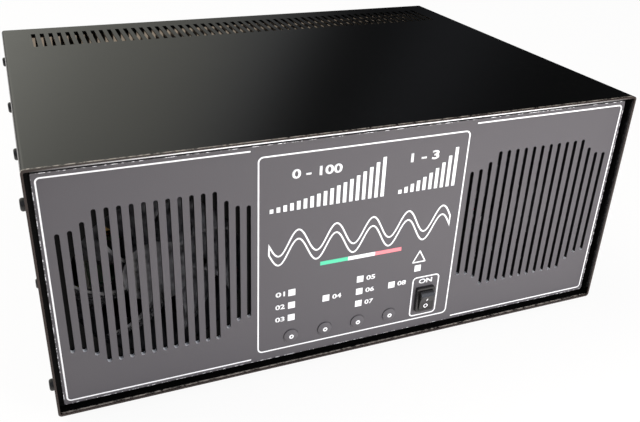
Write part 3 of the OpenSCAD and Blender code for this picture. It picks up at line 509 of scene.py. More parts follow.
# %% Gauze builder
def gauze(name, color, threads_per_mm=2.0):
    material, tree, shader = shader_of(name)
    place = axes_of(tree, object_coords(tree))
    pitch = 2 * math.pi * threads_per_mm / MM
    weave = [math_node(tree, "SINE", product(tree, place[axis], pitch)) for axis in "XZ"]
    crossing = map_range(tree, math_node(tree, "MULTIPLY", *weave), -1.0, 1.0)
    dark = [0.8 * share for share in color]
    tree.links.new(mix_color(tree, crossing, dark, color), shader.inputs["Base Color"])
    shader.inputs["Roughness"].default_value = 0.55
    shader.inputs["IOR"].default_value = 1.1
    shader.inputs["Transmission Weight"].default_value = 0.9
    return material


# %% [markdown]
# ### The palette
#
# The case is satin black powder coat. Its own colour is very dark, and what the eye sees on the top is mostly
# the room, mirrored softly. The plate is a dark grey. Everything printed on it is a clear white, and the
# light bars are milky plastic of nearly the same white. The blades of the fans get a lighter grey and an
# uneven sheen in their colour: painted reflections, which stand in for the many small reflections of real
# ones.

# %% Materials
PLATE_GREY = (0.096, 0.091, 0.098)
BLACK_COAT = coated("black_powder_coat", (0.0022, 0.0022, 0.0021), roughness=0.21, scale=1500.0, speckle=0.5,
                    bump=0.06, spread=0.03, dust=0.005, rim_cut_and_highlights=True)
INNER_BLACK = coated("inner_black_paint", (0.003, 0.003, 0.003), roughness=0.6, scale=1500.0, specular=0.12)
# The third colour is the white of the painted highlights on the plate's edges and slot ends.
PLATE_PAINT = plate_paint("grey_plate_paint", PLATE_GREY, (0.85, 0.86, 0.88))
KEY_GREY = coated("grey_key_plastic", PLATE_GREY, roughness=0.42, scale=1800.0, bump=0.05)
PRINT_WHITE = coated("white_print", (0.90, 0.91, 0.92), roughness=0.5, scale=2500.0, speckle=0.03, bump=0.05)
LENS_WHITE = coated("milky_lens", (0.90, 0.92, 0.93), roughness=0.28, scale=1200.0, speckle=0.03, bump=0.02,
                    subsurface=0.2)
STRIPE_GREEN = coated("green_print", (0.10, 0.60, 0.36), roughness=0.5, scale=2500.0, speckle=0.06, bump=0.05)
STRIPE_RED = coated("red_print", (0.86, 0.24, 0.27), roughness=0.5, scale=2500.0, speckle=0.06, bump=0.05)
BLACK_STEEL = coated("blackened_steel", (0.010, 0.010, 0.010), roughness=0.30, scale=1800.0, bump=0.05)
RUBBER = coated("black_rubber", (0.014, 0.014, 0.014), roughness=0.78, scale=1100.0, bump=0.25)
SWITCH_BLACK = coated("switch_plastic", (0.006, 0.005, 0.005), roughness=0.2, scale=1600.0, bump=0.03,
                      specular=0.95)
FAN_BLACK = coated("fan_plastic", (0.05, 0.05, 0.055), roughness=0.25, scale=1400.0, bump=0.04, dust=0.05,
                   specular=0.8)
# The blades' lighter grey and their strong speckle are painted reflections.
BLADE_GREY = coated("blade_plastic_painted_sheen", (0.15, 0.15, 0.16), roughness=0.2, scale=110.0, speckle=4.5, bump=0.1,
                    dust=0.1, specular=1.0)
BOARD_GREEN = coated("solder_mask", (0.012, 0.11, 0.035), roughness=0.26, scale=500.0, speckle=0.3, dust=0.06)
PART_BLACK = coated("moulded_black", (0.014, 0.014, 0.014), roughness=0.5, scale=1400.0, bump=0.1)
FERRITE = coated("ferrite", (0.06, 0.06, 0.065), roughness=0.62, scale=1000.0, speckle=0.35, bump=0.2)
COIL_YELLOW = coated("yellow_core_paint", (0.72, 0.50, 0.05), roughness=0.36, scale=900.0, bump=0.06)
RELAY_IVORY = coated("relay_cover", (0.70, 0.66, 0.54), roughness=0.34, scale=1400.0, bump=0.03)
INSULATOR = coated("insulator", (0.82, 0.82, 0.79), roughness=0.45, scale=1400.0, bump=0.03, subsurface=0.2)
SCREEN_GAUZE = gauze("screen_gauze", (0.34, 0.28, 0.22))
WIRE_RED = coated("red_wire", (0.60, 0.02, 0.03), roughness=0.35, scale=1600.0, bump=0.03)
WIRE_YELLOW = coated("yellow_wire", (0.72, 0.58, 0.02), roughness=0.4, scale=1600.0, bump=0.03)
WIRE_BLACK = coated("black_wire", (0.015, 0.015, 0.015), roughness=0.35, scale=1600.0, bump=0.03)
ALUMINIUM = metal("drawn_aluminium", (0.66, 0.66, 0.67), roughness=0.34)
SHEET_METAL = metal("rolled_sheet", (0.58, 0.58, 0.60), roughness=0.38, stretch=(8.0, 500.0, 500.0))
ZINC = metal("zinc_plate", (0.60, 0.60, 0.62), roughness=0.3, stretch=(300.0, 300.0, 300.0), contrast=0.3)
GOLD = metal("gold_plate", (0.80, 0.58, 0.24), roughness=0.24, stretch=(300.0, 60.0, 300.0), contrast=0.1)
COPPER = metal("enamelled_copper", (0.72, 0.30, 0.12), roughness=0.28, stretch=(200.0, 200.0, 200.0),
               contrast=0.1)
print("materials:", len(bpy.data.materials))

# %% [markdown]
# Each solid part now gets its finish. A part's name tells what it is, so a
# table of name beginnings is enough, and the script stops if one is missed.

# %% Dress the solid parts
FINISH = {
    "top_cover": BLACK_COAT, "bottom_cover": BLACK_COAT, "rear_panel": BLACK_COAT,
    "front_subpanel": INNER_BLACK, "front_plate": PLATE_PAINT, "rail": ALUMINIUM,
    "power_meter_lens": LENS_WHITE, "swr_meter_lens": LENS_WHITE, "status_lens": LENS_WHITE,
    "display_board": BOARD_GREEN, "meter_lamps": RELAY_IVORY, "display_pillars": ZINC,
    "key_switches": PART_BLACK, "key_1": KEY_GREY, "key_2": KEY_GREY, "key_3": KEY_GREY, "key_4": KEY_GREY,
    "switch_housing": SWITCH_BLACK, "power_rocker": SWITCH_BLACK, "fan_frame": FAN_BLACK,
    "fan_rotor": BLADE_GREY, "fan_nuts": ZINC, "heat_sink": ALUMINIUM, "amplifier_board": BOARD_GREEN,
    "power_transistors": GOLD, "output_transformers": FERRITE, "power_supply": SHEET_METAL,
    "control_board": BOARD_GREEN, "filter_board": BOARD_GREEN, "filter_coils": COIL_YELLOW,
    "band_relays": RELAY_IVORY, "mains_inlet": PART_BLACK, "socket_insulators": INSULATOR, "relay_jack": GOLD,
    "level_jack": GOLD, "foot_screws": ZINC, "foot": RUBBER,
    "side_screws": BLACK_STEEL, "rear_screws": BLACK_STEEL, "plate_nuts": ZINC, "board_pillars": ZINC,
}


def ridged(name, builder, color, lines, ribs, start_mm, **settings):
    """A finish whose ridges run round the middle of the part and begin that far from its outer end."""
    low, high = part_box(name)
    middle = (low + high) / 2
    ridges = {"axis": (middle.x, 0.0, middle.z), "lines": lines, "ribs": ribs,
              "start": high.y - start_mm * MM}
    return builder(name + "_finish", color, ridges=ridges, **settings)


NICKEL_COLOR, CAP_COLOR = (0.66, 0.64, 0.60), (0.014, 0.014, 0.014)
SOCKET_PITCH, POST_PITCH, CAP_RIBS = 1.06, 1.0, 28.0
for name in ("aerial_socket_1", "aerial_socket_2", "drive_socket"):
    FINISH[name] = ridged(name, metal, NICKEL_COLOR, 1000 / SOCKET_PITCH, 1.0, 12.5, roughness=0.2)
for name in ("fuse_holder_1", "fuse_holder_2"):
    FINISH[name] = ridged(name, coated, CAP_COLOR, 0.0, CAP_RIBS, 8.0, roughness=0.4)
FINISH["earth_post"] = ridged("earth_post", metal, NICKEL_COLOR, 1000 / POST_PITCH, 1.0, 11.0, roughness=0.25)


def finish_for(name):
    matches = [key for key in FINISH if name.startswith(key)]
    if not matches:
        raise ValueError("no finish for " + name)
    return FINISH[max(matches, key=len)]


for name, part in nodes.items():
    part.data.materials.clear()
    part.data.materials.append(finish_for(name))
print("dressed", len(nodes), "parts")

# %% [markdown]
# ## Printing on the plate
#
# Screen printing lies on the paint as a film a few hundredths of a
# millimetre thick. Each printed figure is a flat bmesh that gets a little
# thickness and is then set on the face of the plate, a hair in front of it.
# The helpers draw in X and Z, in millimetres, and `printed` carries a figure
# to its place and hangs it on the case.

# %% Printing helpers
INK, HAIR = 0.04, 0.005


def verts_in(geom):
    return [v for v in geom if isinstance(v, bmesh.types.BMVert)]


def finish_mesh(name, bm, material, body="case"):
    mesh = bpy.data.meshes.new(name)
    bm.to_mesh(mesh)
    bm.free()
    piece = bpy.data.objects.new(name, mesh)
    bpy.context.scene.collection.objects.link(piece)
    for one in material if isinstance(material, (list, tuple)) else [material]:
        mesh.materials.append(one)
    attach(piece, body)
    return piece


def give_ink(bm):
    bmesh.ops.recalc_face_normals(bm, faces=bm.faces[:])
    top = bmesh.ops.extrude_face_region(bm, geom=bm.faces[:])
    bmesh.ops.translate(bm, verts=verts_in(top["geom"]), vec=(0, -INK, 0))
    bmesh.ops.recalc_face_normals(bm, faces=bm.faces[:])


def printed(name, bm, material=PRINT_WHITE):
    give_ink(bm)
    for v in bm.verts:
        v.co = on_case(v.co.x, PLATE_Y - HAIR + v.co.y, v.co.z)
    return finish_mesh(name, bm, material)


def flat_polygon(points):
    bm = bmesh.new()
    bm.faces.new([bm.verts.new((x, 0, z)) for x, z in points])
    return bm


def outline(bm, radius, width, segments=6):
    """Rounds the corners of a flat face and keeps only a border of the given width."""
    bmesh.ops.bevel(bm, geom=bm.verts[:], offset=radius, segments=segments, profile=0.5, affect="VERTICES",
                    material=-1)
    outer = bm.faces[:]
    bmesh.ops.inset_region(bm, faces=outer, thickness=width, use_even_offset=True, use_boundary=True)
    bmesh.ops.delete(bm, geom=outer, context="FACES")
    return bm


# %% [markdown]
# A printed frame with round corners starts as one rectangle. Bevelling its
# four corner points rounds them, insetting the face leaves a border as wide
# as the printed line, and deleting the middle leaves only the line. The two
# outer brackets are one big frame, cut in two and without its middle.

# %% Frames and brackets
LINE = 1.05
BRACKET_X, BRACKET_END, BRACKET_ROUND = 213.3, 83.9, 3.2
BRACKET_LOW, BRACKET_HIGH = MIDDLE_Z - 82.9, MIDDLE_Z + 82.5
DISPLAY_HALF, DISPLAY_ROUND = 79.1, 4.0
DISPLAY_LOW, DISPLAY_HIGH = MIDDLE_Z - 78.2, MIDDLE_Z + 77.4
SWITCH_LEFT, SWITCH_RIGHT, SWITCH_ROUND = 45.3, 68.7, 3.4
SWITCH_LOW, SWITCH_HIGH = MIDDLE_Z - 75.0, MIDDLE_Z - 38.9


def frame_line(x0, x1, z0, z1, radius):
    return outline(flat_polygon([(x0, z0), (x1, z0), (x1, z1), (x0, z1)]), radius, LINE, segments=8)


for side, label in ((-1, "left"), (1, "right")):
    bm = frame_line(-BRACKET_X, BRACKET_X, BRACKET_LOW, BRACKET_HIGH, BRACKET_ROUND)
    bmesh.ops.bisect_plane(bm, geom=bm.verts[:] + bm.edges[:] + bm.faces[:],
                           plane_co=(side * BRACKET_END, 0, 0), plane_no=(side, 0, 0), clear_inner=True)
    printed("print_bracket_" + label, bm)

bm = frame_line(-DISPLAY_HALF, DISPLAY_HALF, DISPLAY_LOW, DISPLAY_HIGH, DISPLAY_ROUND)
printed("print_display_frame", bm)
bm = frame_line(SWITCH_LEFT, SWITCH_RIGHT, SWITCH_LOW, SWITCH_HIGH, SWITCH_ROUND)
printed("print_switch_frame", bm)
print("frames printed with a line of", LINE, "mm")

# %% [markdown]
# Beside the alarm light stands a plain triangle outline. The same trick
# works with three points.

# %% Alarm triangle
ALARM_X, ALARM_HALF, ALARM_ROUND = 48.75, 6.15, 1.2
ALARM_LOW, ALARM_HIGH = MIDDLE_Z - 25.6, MIDDLE_Z - 14.4
corners = [(ALARM_X - ALARM_HALF, ALARM_LOW), (ALARM_X + ALARM_HALF, ALARM_LOW), (ALARM_X, ALARM_HIGH)]
printed("print_alarm_triangle", outline(flat_polygon(corners), ALARM_ROUND, LINE))

# %% [markdown]
# The large field under the meters carries a figure of our own: a ribbon that
# swings like a radio wave, drawn as an outline. Its border is a closed line.
# `line_loop` walks round such a line and sets one point to each side of it,
# half a line width away, on the mitre of the two legs that meet there. At a
# sharp corner the mitre is kept from running away.

# %% Wave figure
WAVE_HALF, WAVE_Z, WAVE_SWING, WAVE_CYCLES = 71.0, MIDDLE_Z + 7.2, 9.4, 5
RIBBON_HALF, WAVE_LINE, WAVE_STEPS, SHARPEST = 3.6, 1.2, 120, 0.3


def line_loop(points, width):
    bm = bmesh.new()
    count = len(points)
    sides = []
    for i, point in enumerate(points):
        before = (point - points[i - 1]).normalized()
        after = (points[(i + 1) % count] - point).normalized()
        across = Vector((-(before + after).y, (before + after).x)).normalized()
        reach = width / 2 / max(SHARPEST, across.dot(Vector((-after.y, after.x))))
        sides.append([bm.verts.new((p.x, 0, p.y)) for p in (point - across * reach, point + across * reach)])
    for (a, b), (c, d) in zip(sides, sides[1:] + sides[:1]):
        bm.faces.new((a, b, d, c))
    return bm


def wave(x):
    return WAVE_Z + WAVE_SWING * math.sin(math.pi * WAVE_CYCLES * x / WAVE_HALF)


steps = [WAVE_HALF * (i / WAVE_STEPS - 1) for i in range(2 * WAVE_STEPS + 1)]
border = ([Vector((x, wave(x) + RIBBON_HALF)) for x in steps]
          + [Vector((x, wave(x) - RIBBON_HALF)) for x in reversed(steps)])
printed("print_wave", line_loop(border, WAVE_LINE))
print("the wave's border has", len(border), "points")

# %% [markdown]
# Under the wave runs a narrow stripe in three colours. One strip with three
# faces is enough, and each face takes the material of its place.

# %% Stripe
STRIPE_HALF, STRIPE_LOW, STRIPE_HIGH = 32.4, MIDDLE_Z - 12.1, MIDDLE_Z - 9.0
bm = bmesh.new()
bmesh.ops.create_grid(bm, x_segments=3, y_segments=1, size=1.0)
for v in bm.verts:
    v.co = Vector((v.co.x * STRIPE_HALF, 0, STRIPE_HIGH if v.co.y > 0 else STRIPE_LOW))
for face in bm.faces:
    along = (face.calc_center_median().x / STRIPE_HALF + 1) / 2
    face.material_index = int(3 * along)
printed("print_stripe", bm, [STRIPE_GREEN, PRINT_WHITE, STRIPE_RED])

# %% [markdown]
# ### Numbers
#
# The plate is marked with plain numbers: ranges over the two meters, a
# number beside each light but the alarm, and ON over the switch. Text is the
# natural tool. Its curves are grown a little, which makes the figures bold.
# It becomes a mesh first, and only then is it fitted between two X values
# and two heights, so its object stays at the origin.

# %% Numbers
def print_text(name, body, x0, x1, z0, z1, weight=0.03):
    curve = bpy.data.curves.new(name, "FONT")
    curve.body = body
    curve.offset = weight
    curve.resolution_u = 4
    holder = bpy.data.objects.new(name + "_outline", curve)
    bpy.context.scene.collection.objects.link(holder)
    bpy.context.view_layer.update()
    mesh = bpy.data.meshes.new_from_object(holder.evaluated_get(bpy.context.evaluated_depsgraph_get()))
    bpy.data.objects.remove(holder)
    bm = bmesh.new()
    bm.from_mesh(mesh)
    bmesh.ops.remove_doubles(bm, verts=bm.verts[:], dist=1e-5)
    xs = [v.co.x for v in bm.verts]
    ys = [v.co.y for v in bm.verts]
    for v in bm.verts:
        v.co = Vector((x0 + (v.co.x - min(xs)) / (max(xs) - min(xs)) * (x1 - x0), 0,
                       z0 + (v.co.y - min(ys)) / (max(ys) - min(ys)) * (z1 - z0)))
    return printed(name, bm)


RANGE_LOW, RANGE_HIGH = MIDDLE_Z + 58.7, MIDDLE_Z + 65.6
print_text("print_power_range", "0 - 100", -55.5, -19.4, RANGE_LOW, RANGE_HIGH)
print_text("print_wave_range", "1 - 3", 32.6, 55.2, RANGE_LOW, RANGE_HIGH)
COLUMN_X = [-53.4, -26.55, 0.3, 27.15]
ROW_Z = [MIDDLE_Z - 51.8, MIDDLE_Z - 41.05, MIDDLE_Z - 30.3]
LABEL_W, LABEL_H, GAP_BEFORE, GAP_AFTER = 7.2, 4.1, 5.2, 5.0
LABELLED = [(0, 2), (0, 1), (0, 0), (1, 1), (2, 2), (2, 1), (2, 0), (3, 1)]
for label_no, (column, row) in enumerate(LABELLED, 1):
    left = COLUMN_X[0] - GAP_BEFORE - LABEL_W if column == 0 else COLUMN_X[column] + GAP_AFTER
    print_text("print_light_%d" % label_no, "0%d" % label_no, left, left + LABEL_W,
               ROW_Z[row] - LABEL_H / 2, ROW_Z[row] + LABEL_H / 2)
print_text("print_switch_on", "ON", 50.9, 62.5, MIDDLE_Z - 45.4, MIDDLE_Z - 41.2)
print("numbers printed:", len(LABELLED))

# %% [markdown]
# ### Marks on the keys and the rocker
#
# Each key has a white ring in the middle of its dome. A short edge that
# follows the dome is spun once round the key's axis. The rocker has a bar on
# the half that is pressed for on and a ring on the other half. Its two
# facets lean, so the marks are drawn flat, turned by the lean of a facet and
# set on the valley between the facets. The sizes are those of the solids.

# %% Key rings and rocker marks
KEY_Z = MIDDLE_Z - 68.0
KEY_RADIUS, DOME_HEIGHT = 5.5, 1.0
DOME_RADIUS = (KEY_RADIUS ** 2 + DOME_HEIGHT ** 2) / 2 / DOME_HEIGHT
RING_RADII, RING_LIFT = (0.75, 1.1, 1.45, 1.8), 0.03


def dome_y(radius):
    return DOME_RADIUS - math.sqrt(DOME_RADIUS ** 2 - radius ** 2)


for number, x in enumerate(COLUMN_X, 1):
    apex = in_case(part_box("key_%d" % number)[0]).y
    bm = bmesh.new()
    ring = [bm.verts.new((radius, apex + dome_y(radius) - RING_LIFT, 0)) for radius in RING_RADII]
    edges = [bm.edges.new(pair) for pair in zip(ring, ring[1:])]
    bmesh.ops.spin(bm, geom=ring + edges, cent=(0, 0, 0), axis=(0, 1, 0), angle=2 * math.pi, steps=40,
                   use_merge=True)
    bmesh.ops.recalc_face_normals(bm, faces=bm.faces[:])
    if bm.faces[0].normal.y > 0:
        bmesh.ops.reverse_faces(bm, faces=bm.faces[:])
    for v in bm.verts:
        v.co = on_case(v.co.x + x, v.co.y, v.co.z + KEY_Z)
    finish_mesh("print_key_ring_%d" % number, bm, PRINT_WHITE, "key_%d" % number)

ROCKER_TILT, FACE_LEAN, FACE_ABOVE = 15.0, 8.4, 4.1
BEZEL_PROUD, PIVOT_BEHIND = 3.2, 2.3
PIVOT_Y = PLATE_Y - BEZEL_PROUD + PIVOT_BEHIND
SWITCH_X, SWITCH_Z = 56.6, MIDDLE_Z - 58.8


def rocker_mark(name, bm, upper):
    """A mark drawn in X and Z about the valley of the rocker's face, laid on its upper or lower facet."""
    give_ink(bm)
    lean = ROCKER_TILT + (FACE_LEAN if upper else -FACE_LEAN)
    for v in bm.verts:
        v.co.y += HAIR
    leaning = Matrix.Rotation(math.radians(lean), 3, "X")
    bmesh.ops.rotate(bm, verts=bm.verts[:], cent=(0, 0, 0), matrix=leaning)
    tilt = math.radians(ROCKER_TILT)
    valley = Vector((0, -FACE_ABOVE * math.cos(tilt), -FACE_ABOVE * math.sin(tilt)))
    for v in bm.verts:
        v.co = on_case(v.co.x + SWITCH_X, v.co.y + valley.y + PIVOT_Y, v.co.z + valley.z + SWITCH_Z)
    return finish_mesh(name, bm, PRINT_WHITE, "rocker")


BAR_HALF, BAR_LOW, BAR_HIGH, BAR_ROUND, BAR_LINE = 0.5, 1.2, 4.2, 0.3, 0.45
MARK_RADIUS, MARK_LINE, MARK_Z = 1.9, 0.7, -3.9
bm = flat_polygon([(-BAR_HALF, BAR_LOW), (BAR_HALF, BAR_LOW), (BAR_HALF, BAR_HIGH), (-BAR_HALF, BAR_HIGH)])
rocker_mark("print_rocker_bar", outline(bm, BAR_ROUND, BAR_LINE, segments=3), True)
bm = bmesh.new()
bmesh.ops.create_circle(bm, cap_ends=True, radius=MARK_RADIUS, segments=40)
bmesh.ops.rotate(bm, verts=bm.verts[:], cent=(0, 0, 0), matrix=Matrix.Rotation(math.radians(90), 3, "X"))
bmesh.ops.translate(bm, verts=bm.verts[:], vec=(0, 0, MARK_Z))
outer = bm.faces[:]
bmesh.ops.inset_region(bm, faces=outer, thickness=MARK_LINE, use_boundary=True)
bmesh.ops.delete(bm, geom=outer, context="FACES")
rocker_mark("print_rocker_ring", bm, False)
print("rocker pivot at", on_case(SWITCH_X, PIVOT_Y, SWITCH_Z))

# %% [markdown]
# ## Wires and windings
#
# A wire is a circle carried along a path. `tube` sets a ring of points at
# each point of the path. Every ring is turned only as far as the path
# itself turns, so the wire doesn't twist, and its ends are closed with a
# face.

# %% Tube helper
def tube(bm, path, radius, sides=8):
    rings = []
    normal = None
    for i, point in enumerate(path):
        along = (path[min(i + 1, len(path) - 1)] - path[max(i - 1, 0)]).normalized()
        if normal is None:
            normal = along.orthogonal().normalized()
        normal = (normal - along * normal.dot(along)).normalized()
        other = along.cross(normal)
        rings.append([bm.verts.new(point + (normal * math.cos(a) + other * math.sin(a)) * radius)
                      for a in (2 * math.pi * k / sides for k in range(sides))])
    for low, high in zip(rings, rings[1:]):
        for k in range(sides):
            bm.faces.new((low[k], low[(k + 1) % sides], high[(k + 1) % sides], high[k]))
    bm.faces.new(list(reversed(rings[0])))
    bm.faces.new(rings[-1])


def smooth_path(knots, steps=8):
    """A curve through the knots, with its tangents taken from the neighbouring knots."""
    path = []
    for i in range(len(knots) - 1):
        a, b = knots[i], knots[i + 1]
        tangent_a = (b - knots[max(i - 1, 0)]) / 2
        tangent_b = (knots[min(i + 2, len(knots) - 1)] - a) / 2
        for k in range(steps):
            t = k / steps
            path.append(a * (2 * t ** 3 - 3 * t ** 2 + 1) + b * (3 * t ** 2 - 2 * t ** 3)
                        + tangent_a * (t ** 3 - 2 * t ** 2 + t) + tangent_b * (t ** 3 - t ** 2))
    return path + [knots[-1]]


# %% [markdown]
# Each yellow ring core of the filters carries a winding of enamelled wire.
# We find the cores in the solid part itself: its loose pieces that are as
# deep as they are high are the rings, and the flat ones are their feet. The
# wire then runs round the section of the ring while it creeps along it.

# %% Windings
def loose_pieces(part):
    """The boxes of a part's separate pieces, in millimetres of the case."""
    bm = bmesh.new()
    bm.from_mesh(part.data)
    bmesh.ops.remove_doubles(bm, verts=bm.verts[:], dist=1e-7)
    left = set(bm.verts)
    boxes = []
    while left:
        reached, edge = set(), [left.pop()]
        while edge:
            v = edge.pop()
            reached.add(v)
            for link in v.link_edges:
                other = link.other_vert(v)
                if other in left:
                    left.discard(other)
                    edge.append(other)
        points = [in_case(v.co) for v in reached]
        boxes.append((Vector([min(p[k] for p in points) for k in range(3)]),
                      Vector([max(p[k] for p in points) for k in range(3)])))
    bm.free()
    return boxes


ROUND_ENOUGH, LEAST_RING = 0.8, 12.0
rings = [(low, high) for low, high in loose_pieces(nodes["filter_coils"])
         if high.z - low.z > max(ROUND_ENOUGH * (high.y - low.y), LEAST_RING)]
bm = bmesh.new()
TURNS, TURN_STEPS, FIRST, SPAN, WIRE_R = 15, 10, 120.0, 300.0, 0.55
RING_SHARE, WALL_SHARE = 0.72, 0.28
for low, high in rings:
    middle = (low + high) / 2
    outer_r = (high.y - low.y) / 2
    ring_r, half_w = outer_r * RING_SHARE, (high.x - low.x) / 2
    path = []
    for k in range(TURNS * TURN_STEPS + 1):
        round_ring = math.radians(FIRST + SPAN * k / (TURNS * TURN_STEPS))
        section = 2 * math.pi * k / TURN_STEPS
        reach = ring_r + (outer_r * WALL_SHARE + WIRE_R) * math.cos(section)
        path.append(on_case(middle.x + (half_w + WIRE_R) * math.sin(section),
                            middle.y + reach * math.cos(round_ring),
                            middle.z + reach * math.sin(round_ring)))
    tube(bm, path, WIRE_R * MM, sides=5)
finish_mesh("coil_windings", bm, COPPER)
print("wound", len(rings), "cores")

# %% [markdown]
# Each fan's motor is fed by two leads that leave its hub and drop to the floor
# of the case, and by the left fan hangs a yellow plug on two leads of its own.
# On the real object they are spots of colour between the blades. When the
# fans are at rest our blades hide nearly all of them from the camera.

# %% Fan leads
FAN_BACK = in_case(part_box("fan_frame_left")[1]).y
LEAD_R, PLUG_LEAD_R, LEAD_STEP = 1.1, 0.9, 2.4
for side, label in ((-1, "left"), (1, "right")):
    hub = in_case((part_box("fan_frame_" + label)[0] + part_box("fan_frame_" + label)[1]) / 2)
    for shift, (colour, finish) in enumerate((("red", WIRE_RED), ("black", WIRE_BLACK))):
        bm = bmesh.new()
        step = LEAD_STEP * shift
        knots = [on_case(*p) for p in (
            (hub.x - side * (14 - step), FAN_BACK + 1.0, hub.z - 12 - step),
            (hub.x - side * (26 - step), FAN_BACK + 3.0, hub.z - 18 - step),
            (hub.x - side * (43 - step), FAN_BACK + 5.0, hub.z - 31 - step),
            (hub.x - side * (56 - step), FAN_BACK + 7.0, hub.z - 56),
            (hub.x - side * (60 - step), FAN_BACK + 9.0, hub.z - 80),
            (hub.x - side * (64 - step), FAN_BACK + 9.5, 3.4))]
        tube(bm, smooth_path(knots), LEAD_R * MM)
        finish_mesh("fan_lead_%s_%s" % (label, colour), bm, finish)

PLUG_X, PLUG_BEHIND, PLUG_Z, PLUG_SIZE = -195.4, 4.0, 61.0, (4.6, 4.0, 9.5)
bm = bmesh.new()
bmesh.ops.create_cube(bm, size=1.0)
bmesh.ops.scale(bm, verts=bm.verts[:], vec=PLUG_SIZE)
bmesh.ops.bevel(bm, geom=bm.edges[:], offset=0.7, segments=2, profile=0.5, affect="EDGES")
for v in bm.verts:
    v.co = on_case(v.co.x + PLUG_X, v.co.y + FAN_BACK + PLUG_BEHIND, v.co.z + PLUG_Z)
for shift in (-1.1, 1.1):
    turns = ((0, 4, PLUG_Z - 4), (2, 5, PLUG_Z - 16), (9, 7, PLUG_Z - 40), (10, 8, 2.6))
    knots = [on_case(PLUG_X + shift + across, FAN_BACK + back, height) for across, back, height in turns]
    tube(bm, smooth_path(knots), PLUG_LEAD_R * MM)
finish_mesh("fan_plug", bm, WIRE_YELLOW)
print("leads start", round(FAN_BACK, 1), "mm behind the rim")

# %% [markdown]
# ## Dust screen
#
# Through the slots of the top one sees the slots of the rear panel, and in
# them a dull beige, which we take for a fine screen: a sheet of gauze inside
# the panel, a little larger than the field of slots. We fold a narrow hem at
# each end, so that it stays flat.

# %% Screen
REAR_IN = in_case(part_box("rear_panel")[0]).y
SCREEN_HALF, SCREEN_LOW, SCREEN_HIGH = 199.0, 100.0, 175.5
SCREEN_GAP, SCREEN_THICK, HEM = 0.6, 0.3, 3.0
bm = bmesh.new()
bmesh.ops.create_grid(bm, x_segments=2, y_segments=1, size=1.0)
for v in bm.verts:
    v.co = Vector((v.co.x * SCREEN_HALF, REAR_IN - SCREEN_GAP, SCREEN_HIGH if v.co.y > 0 else SCREEN_LOW))
ends = [edge for edge in bm.edges if min(abs(v.co.x) for v in edge.verts) > SCREEN_HALF / 2]
hems = bmesh.ops.extrude_edge_only(bm, edges=ends)
bmesh.ops.translate(bm, verts=verts_in(hems["geom"]), vec=(0, -HEM, 0))
bmesh.ops.recalc_face_normals(bm, faces=bm.faces[:])
bmesh.ops.solidify(bm, geom=bm.faces[:], thickness=SCREEN_THICK)
for v in bm.verts:
    v.co = on_case(*v.co)
finish_mesh("dust_screen", bm, SCREEN_GAUZE)
print("screen", 2 * SCREEN_HALF, "mm wide")

# %% [markdown]
# ## Floor, sky and lamps
#
# The floor is a sheet of warm white paper that keeps the soft shadow of the
# case. To the camera, and less so in reflections, it is mixed with white
# light, as paper is when it is lit from behind.

# %% Floor
FLOOR_HALF, SEEN_WHITE, MIRRORED_WHITE = 6.0, 0.93, 0.35
bm = bmesh.new()
bmesh.ops.create_grid(bm, x_segments=1, y_segments=1, size=FLOOR_HALF)
floor_mesh = bpy.data.meshes.new("floor")
bm.to_mesh(floor_mesh)
bm.free()
floor = bpy.data.objects.new("floor", floor_mesh)
bpy.context.scene.collection.objects.link(floor)
floor_paint, tree, shader = shader_of("floor_paper")
shader.inputs["Base Color"].default_value = (0.90, 0.85, 0.81, 1)
shader.inputs["Roughness"].default_value = 0.9
shader.inputs["Specular IOR Level"].default_value = 0.0
glow = add(tree, "ShaderNodeEmission")
glow.inputs["Color"].default_value = (1, 1, 1, 1)
blend_shader = add(tree, "ShaderNodeMixShader")
rays = add(tree, "ShaderNodeLightPath")
direct = math_node(tree, "ADD", rays.outputs["Is Camera Ray"], rays.outputs["Is Transmission Ray"])
mirrored = product(tree, rays.outputs["Is Glossy Ray"], MIRRORED_WHITE)
seen = math_node(tree, "ADD", product(tree, direct, SEEN_WHITE), mirrored, clamp=True)
tree.links.new(seen, blend_shader.inputs["Fac"])
tree.links.new(shader.outputs["BSDF"], blend_shader.inputs[1])
tree.links.new(glow.outputs["Emission"], blend_shader.inputs[2])
tree.links.new(blend_shader.outputs["Shader"], tree.nodes["Material Output"].inputs["Surface"])
floor_mesh.materials.append(floor_paint)

# %% [markdown]
# The room is bright behind the case, dark from there round to the right,
# bright again in front and dim on the left. The satin top shows this as a
# slow change from grey to black. So the world has one ramp of brightness
# round the horizon, in which 0 degrees is behind the case, 90 its right and
# 180 its front. It holds as written at 14 degrees above the horizon, and
# turns by half a degree for each degree of height, up to 30 degrees more.
# Its levels were tuned for this one camera, and another view mirrors another part of it. Low down the room is
# dimmer, as behind a table. To the camera the world is plain white.

# %% World
ROOM = [(-180, 0.60), (-90, 0.30), (-20, 1.20), (0, 1.05), (2, 0.86), (6, 0.64), (14, 0.47), (18, 0.34),
        (20.5, 0.26), (22.5, 0.10), (25, 0.02), (28, 0.005), (31, 0.05), (34, 0.07), (38, 0.03), (42, 0.01),
        (90, 0.05), (120, 0.50), (140, 1.40), (165, 1.20), (180, 0.60)]
WARM, COOL, COOLS_FROM, COOLS_OVER = (1.02, 1.02, 0.92), (0.94, 0.98, 1.10), 14.0, 12.0
LOW_LEVEL, FULL_AT = 0.05, 24.0
STRAIGHT_AT, MOST_ABOVE, TURN_SHARE = 14.0, 30.0, 0.5

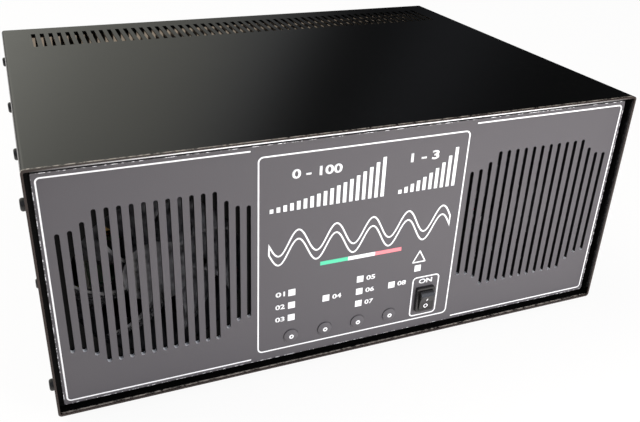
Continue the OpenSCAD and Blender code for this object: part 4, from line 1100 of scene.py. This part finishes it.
world = bpy.data.worlds.new("studio")
world.use_nodes = True
bpy.context.scene.world = world
tree = world.node_tree
background = tree.nodes["Background"]
sky = axes_of(tree, add(tree, "ShaderNodeTexCoord").outputs["Generated"])
to_degrees = 180 / math.pi
turn = product(tree, math_node(tree, "ARCTAN2", sky["X"], sky["Y"]), to_degrees)
height = product(tree, math_node(tree, "ARCSINE", sky["Z"]), to_degrees)
above = math_node(tree, "MINIMUM", math_node(tree, "SUBTRACT", height, STRAIGHT_AT), MOST_ABOVE)
leaning = product(tree, above, TURN_SHARE)
place = map_range(tree, math_node(tree, "ADD", turn, leaning), -180, 180)
ramp = add(tree, "ShaderNodeValToRGB")
tree.links.new(place, ramp.inputs["Fac"])
stops = ramp.color_ramp.elements
while len(stops) < len(ROOM):
    stops.new(0.5)
for stop, (degrees, level) in zip(stops, ROOM):
    share = min(1.0, max(0.0, (degrees - COOLS_FROM) / COOLS_OVER)) if degrees > -90 else 1.0
    stop.position = (degrees + 180) / 360
    stop.color = (*[level * (w + (c - w) * share) for w, c in zip(WARM, COOL)], 1.0)
direct = add(tree, "ShaderNodeLightPath").outputs["Is Camera Ray"]
tree.links.new(mix_color(tree, direct, ramp.outputs["Color"], (1.0, 1.0, 1.0)), background.inputs["Color"])
low_room = map_range(tree, height, 0.0, FULL_AT, LOW_LEVEL, 1.0)
tree.links.new(math_node(tree, "MAXIMUM", low_room, direct), background.inputs["Strength"])
print("the room has", len(ROOM), "levels")

# %% [markdown]
# Two soft boxes do the rest: a small one in front, low and to the right, for
# the plate, and a large one high up behind on the left, for the shells.
# Neither shows in reflections, which belong to the room alone.

# %% Lamps
def soft_box(name, place, target, size, power, tint=(1, 1, 1)):
    data = bpy.data.lights.new(name, "AREA")
    data.shape = "RECTANGLE"
    data.size, data.size_y = size
    data.energy = power
    data.color = tint
    lamp = bpy.data.objects.new(name, data)
    lamp.location = place
    lamp.rotation_euler = (Vector(target) - Vector(place)).to_track_quat("-Z", "Y").to_euler()
    bpy.context.scene.collection.objects.link(lamp)
    return lamp


front_box = soft_box("front_box", (0.20, -0.68, 0.20), (0.10, -0.17, 0.03), (0.3, 0.2), 3.3,
                     (1.0, 0.98, 0.97))
top_box = soft_box("top_box", (-0.9, 0.6, 2.0), (0, 0, 0.1), (1.4, 1.4), 30.0, (1.0, 0.98, 0.95))
for box in (front_box, top_box):
    box.visible_glossy = False
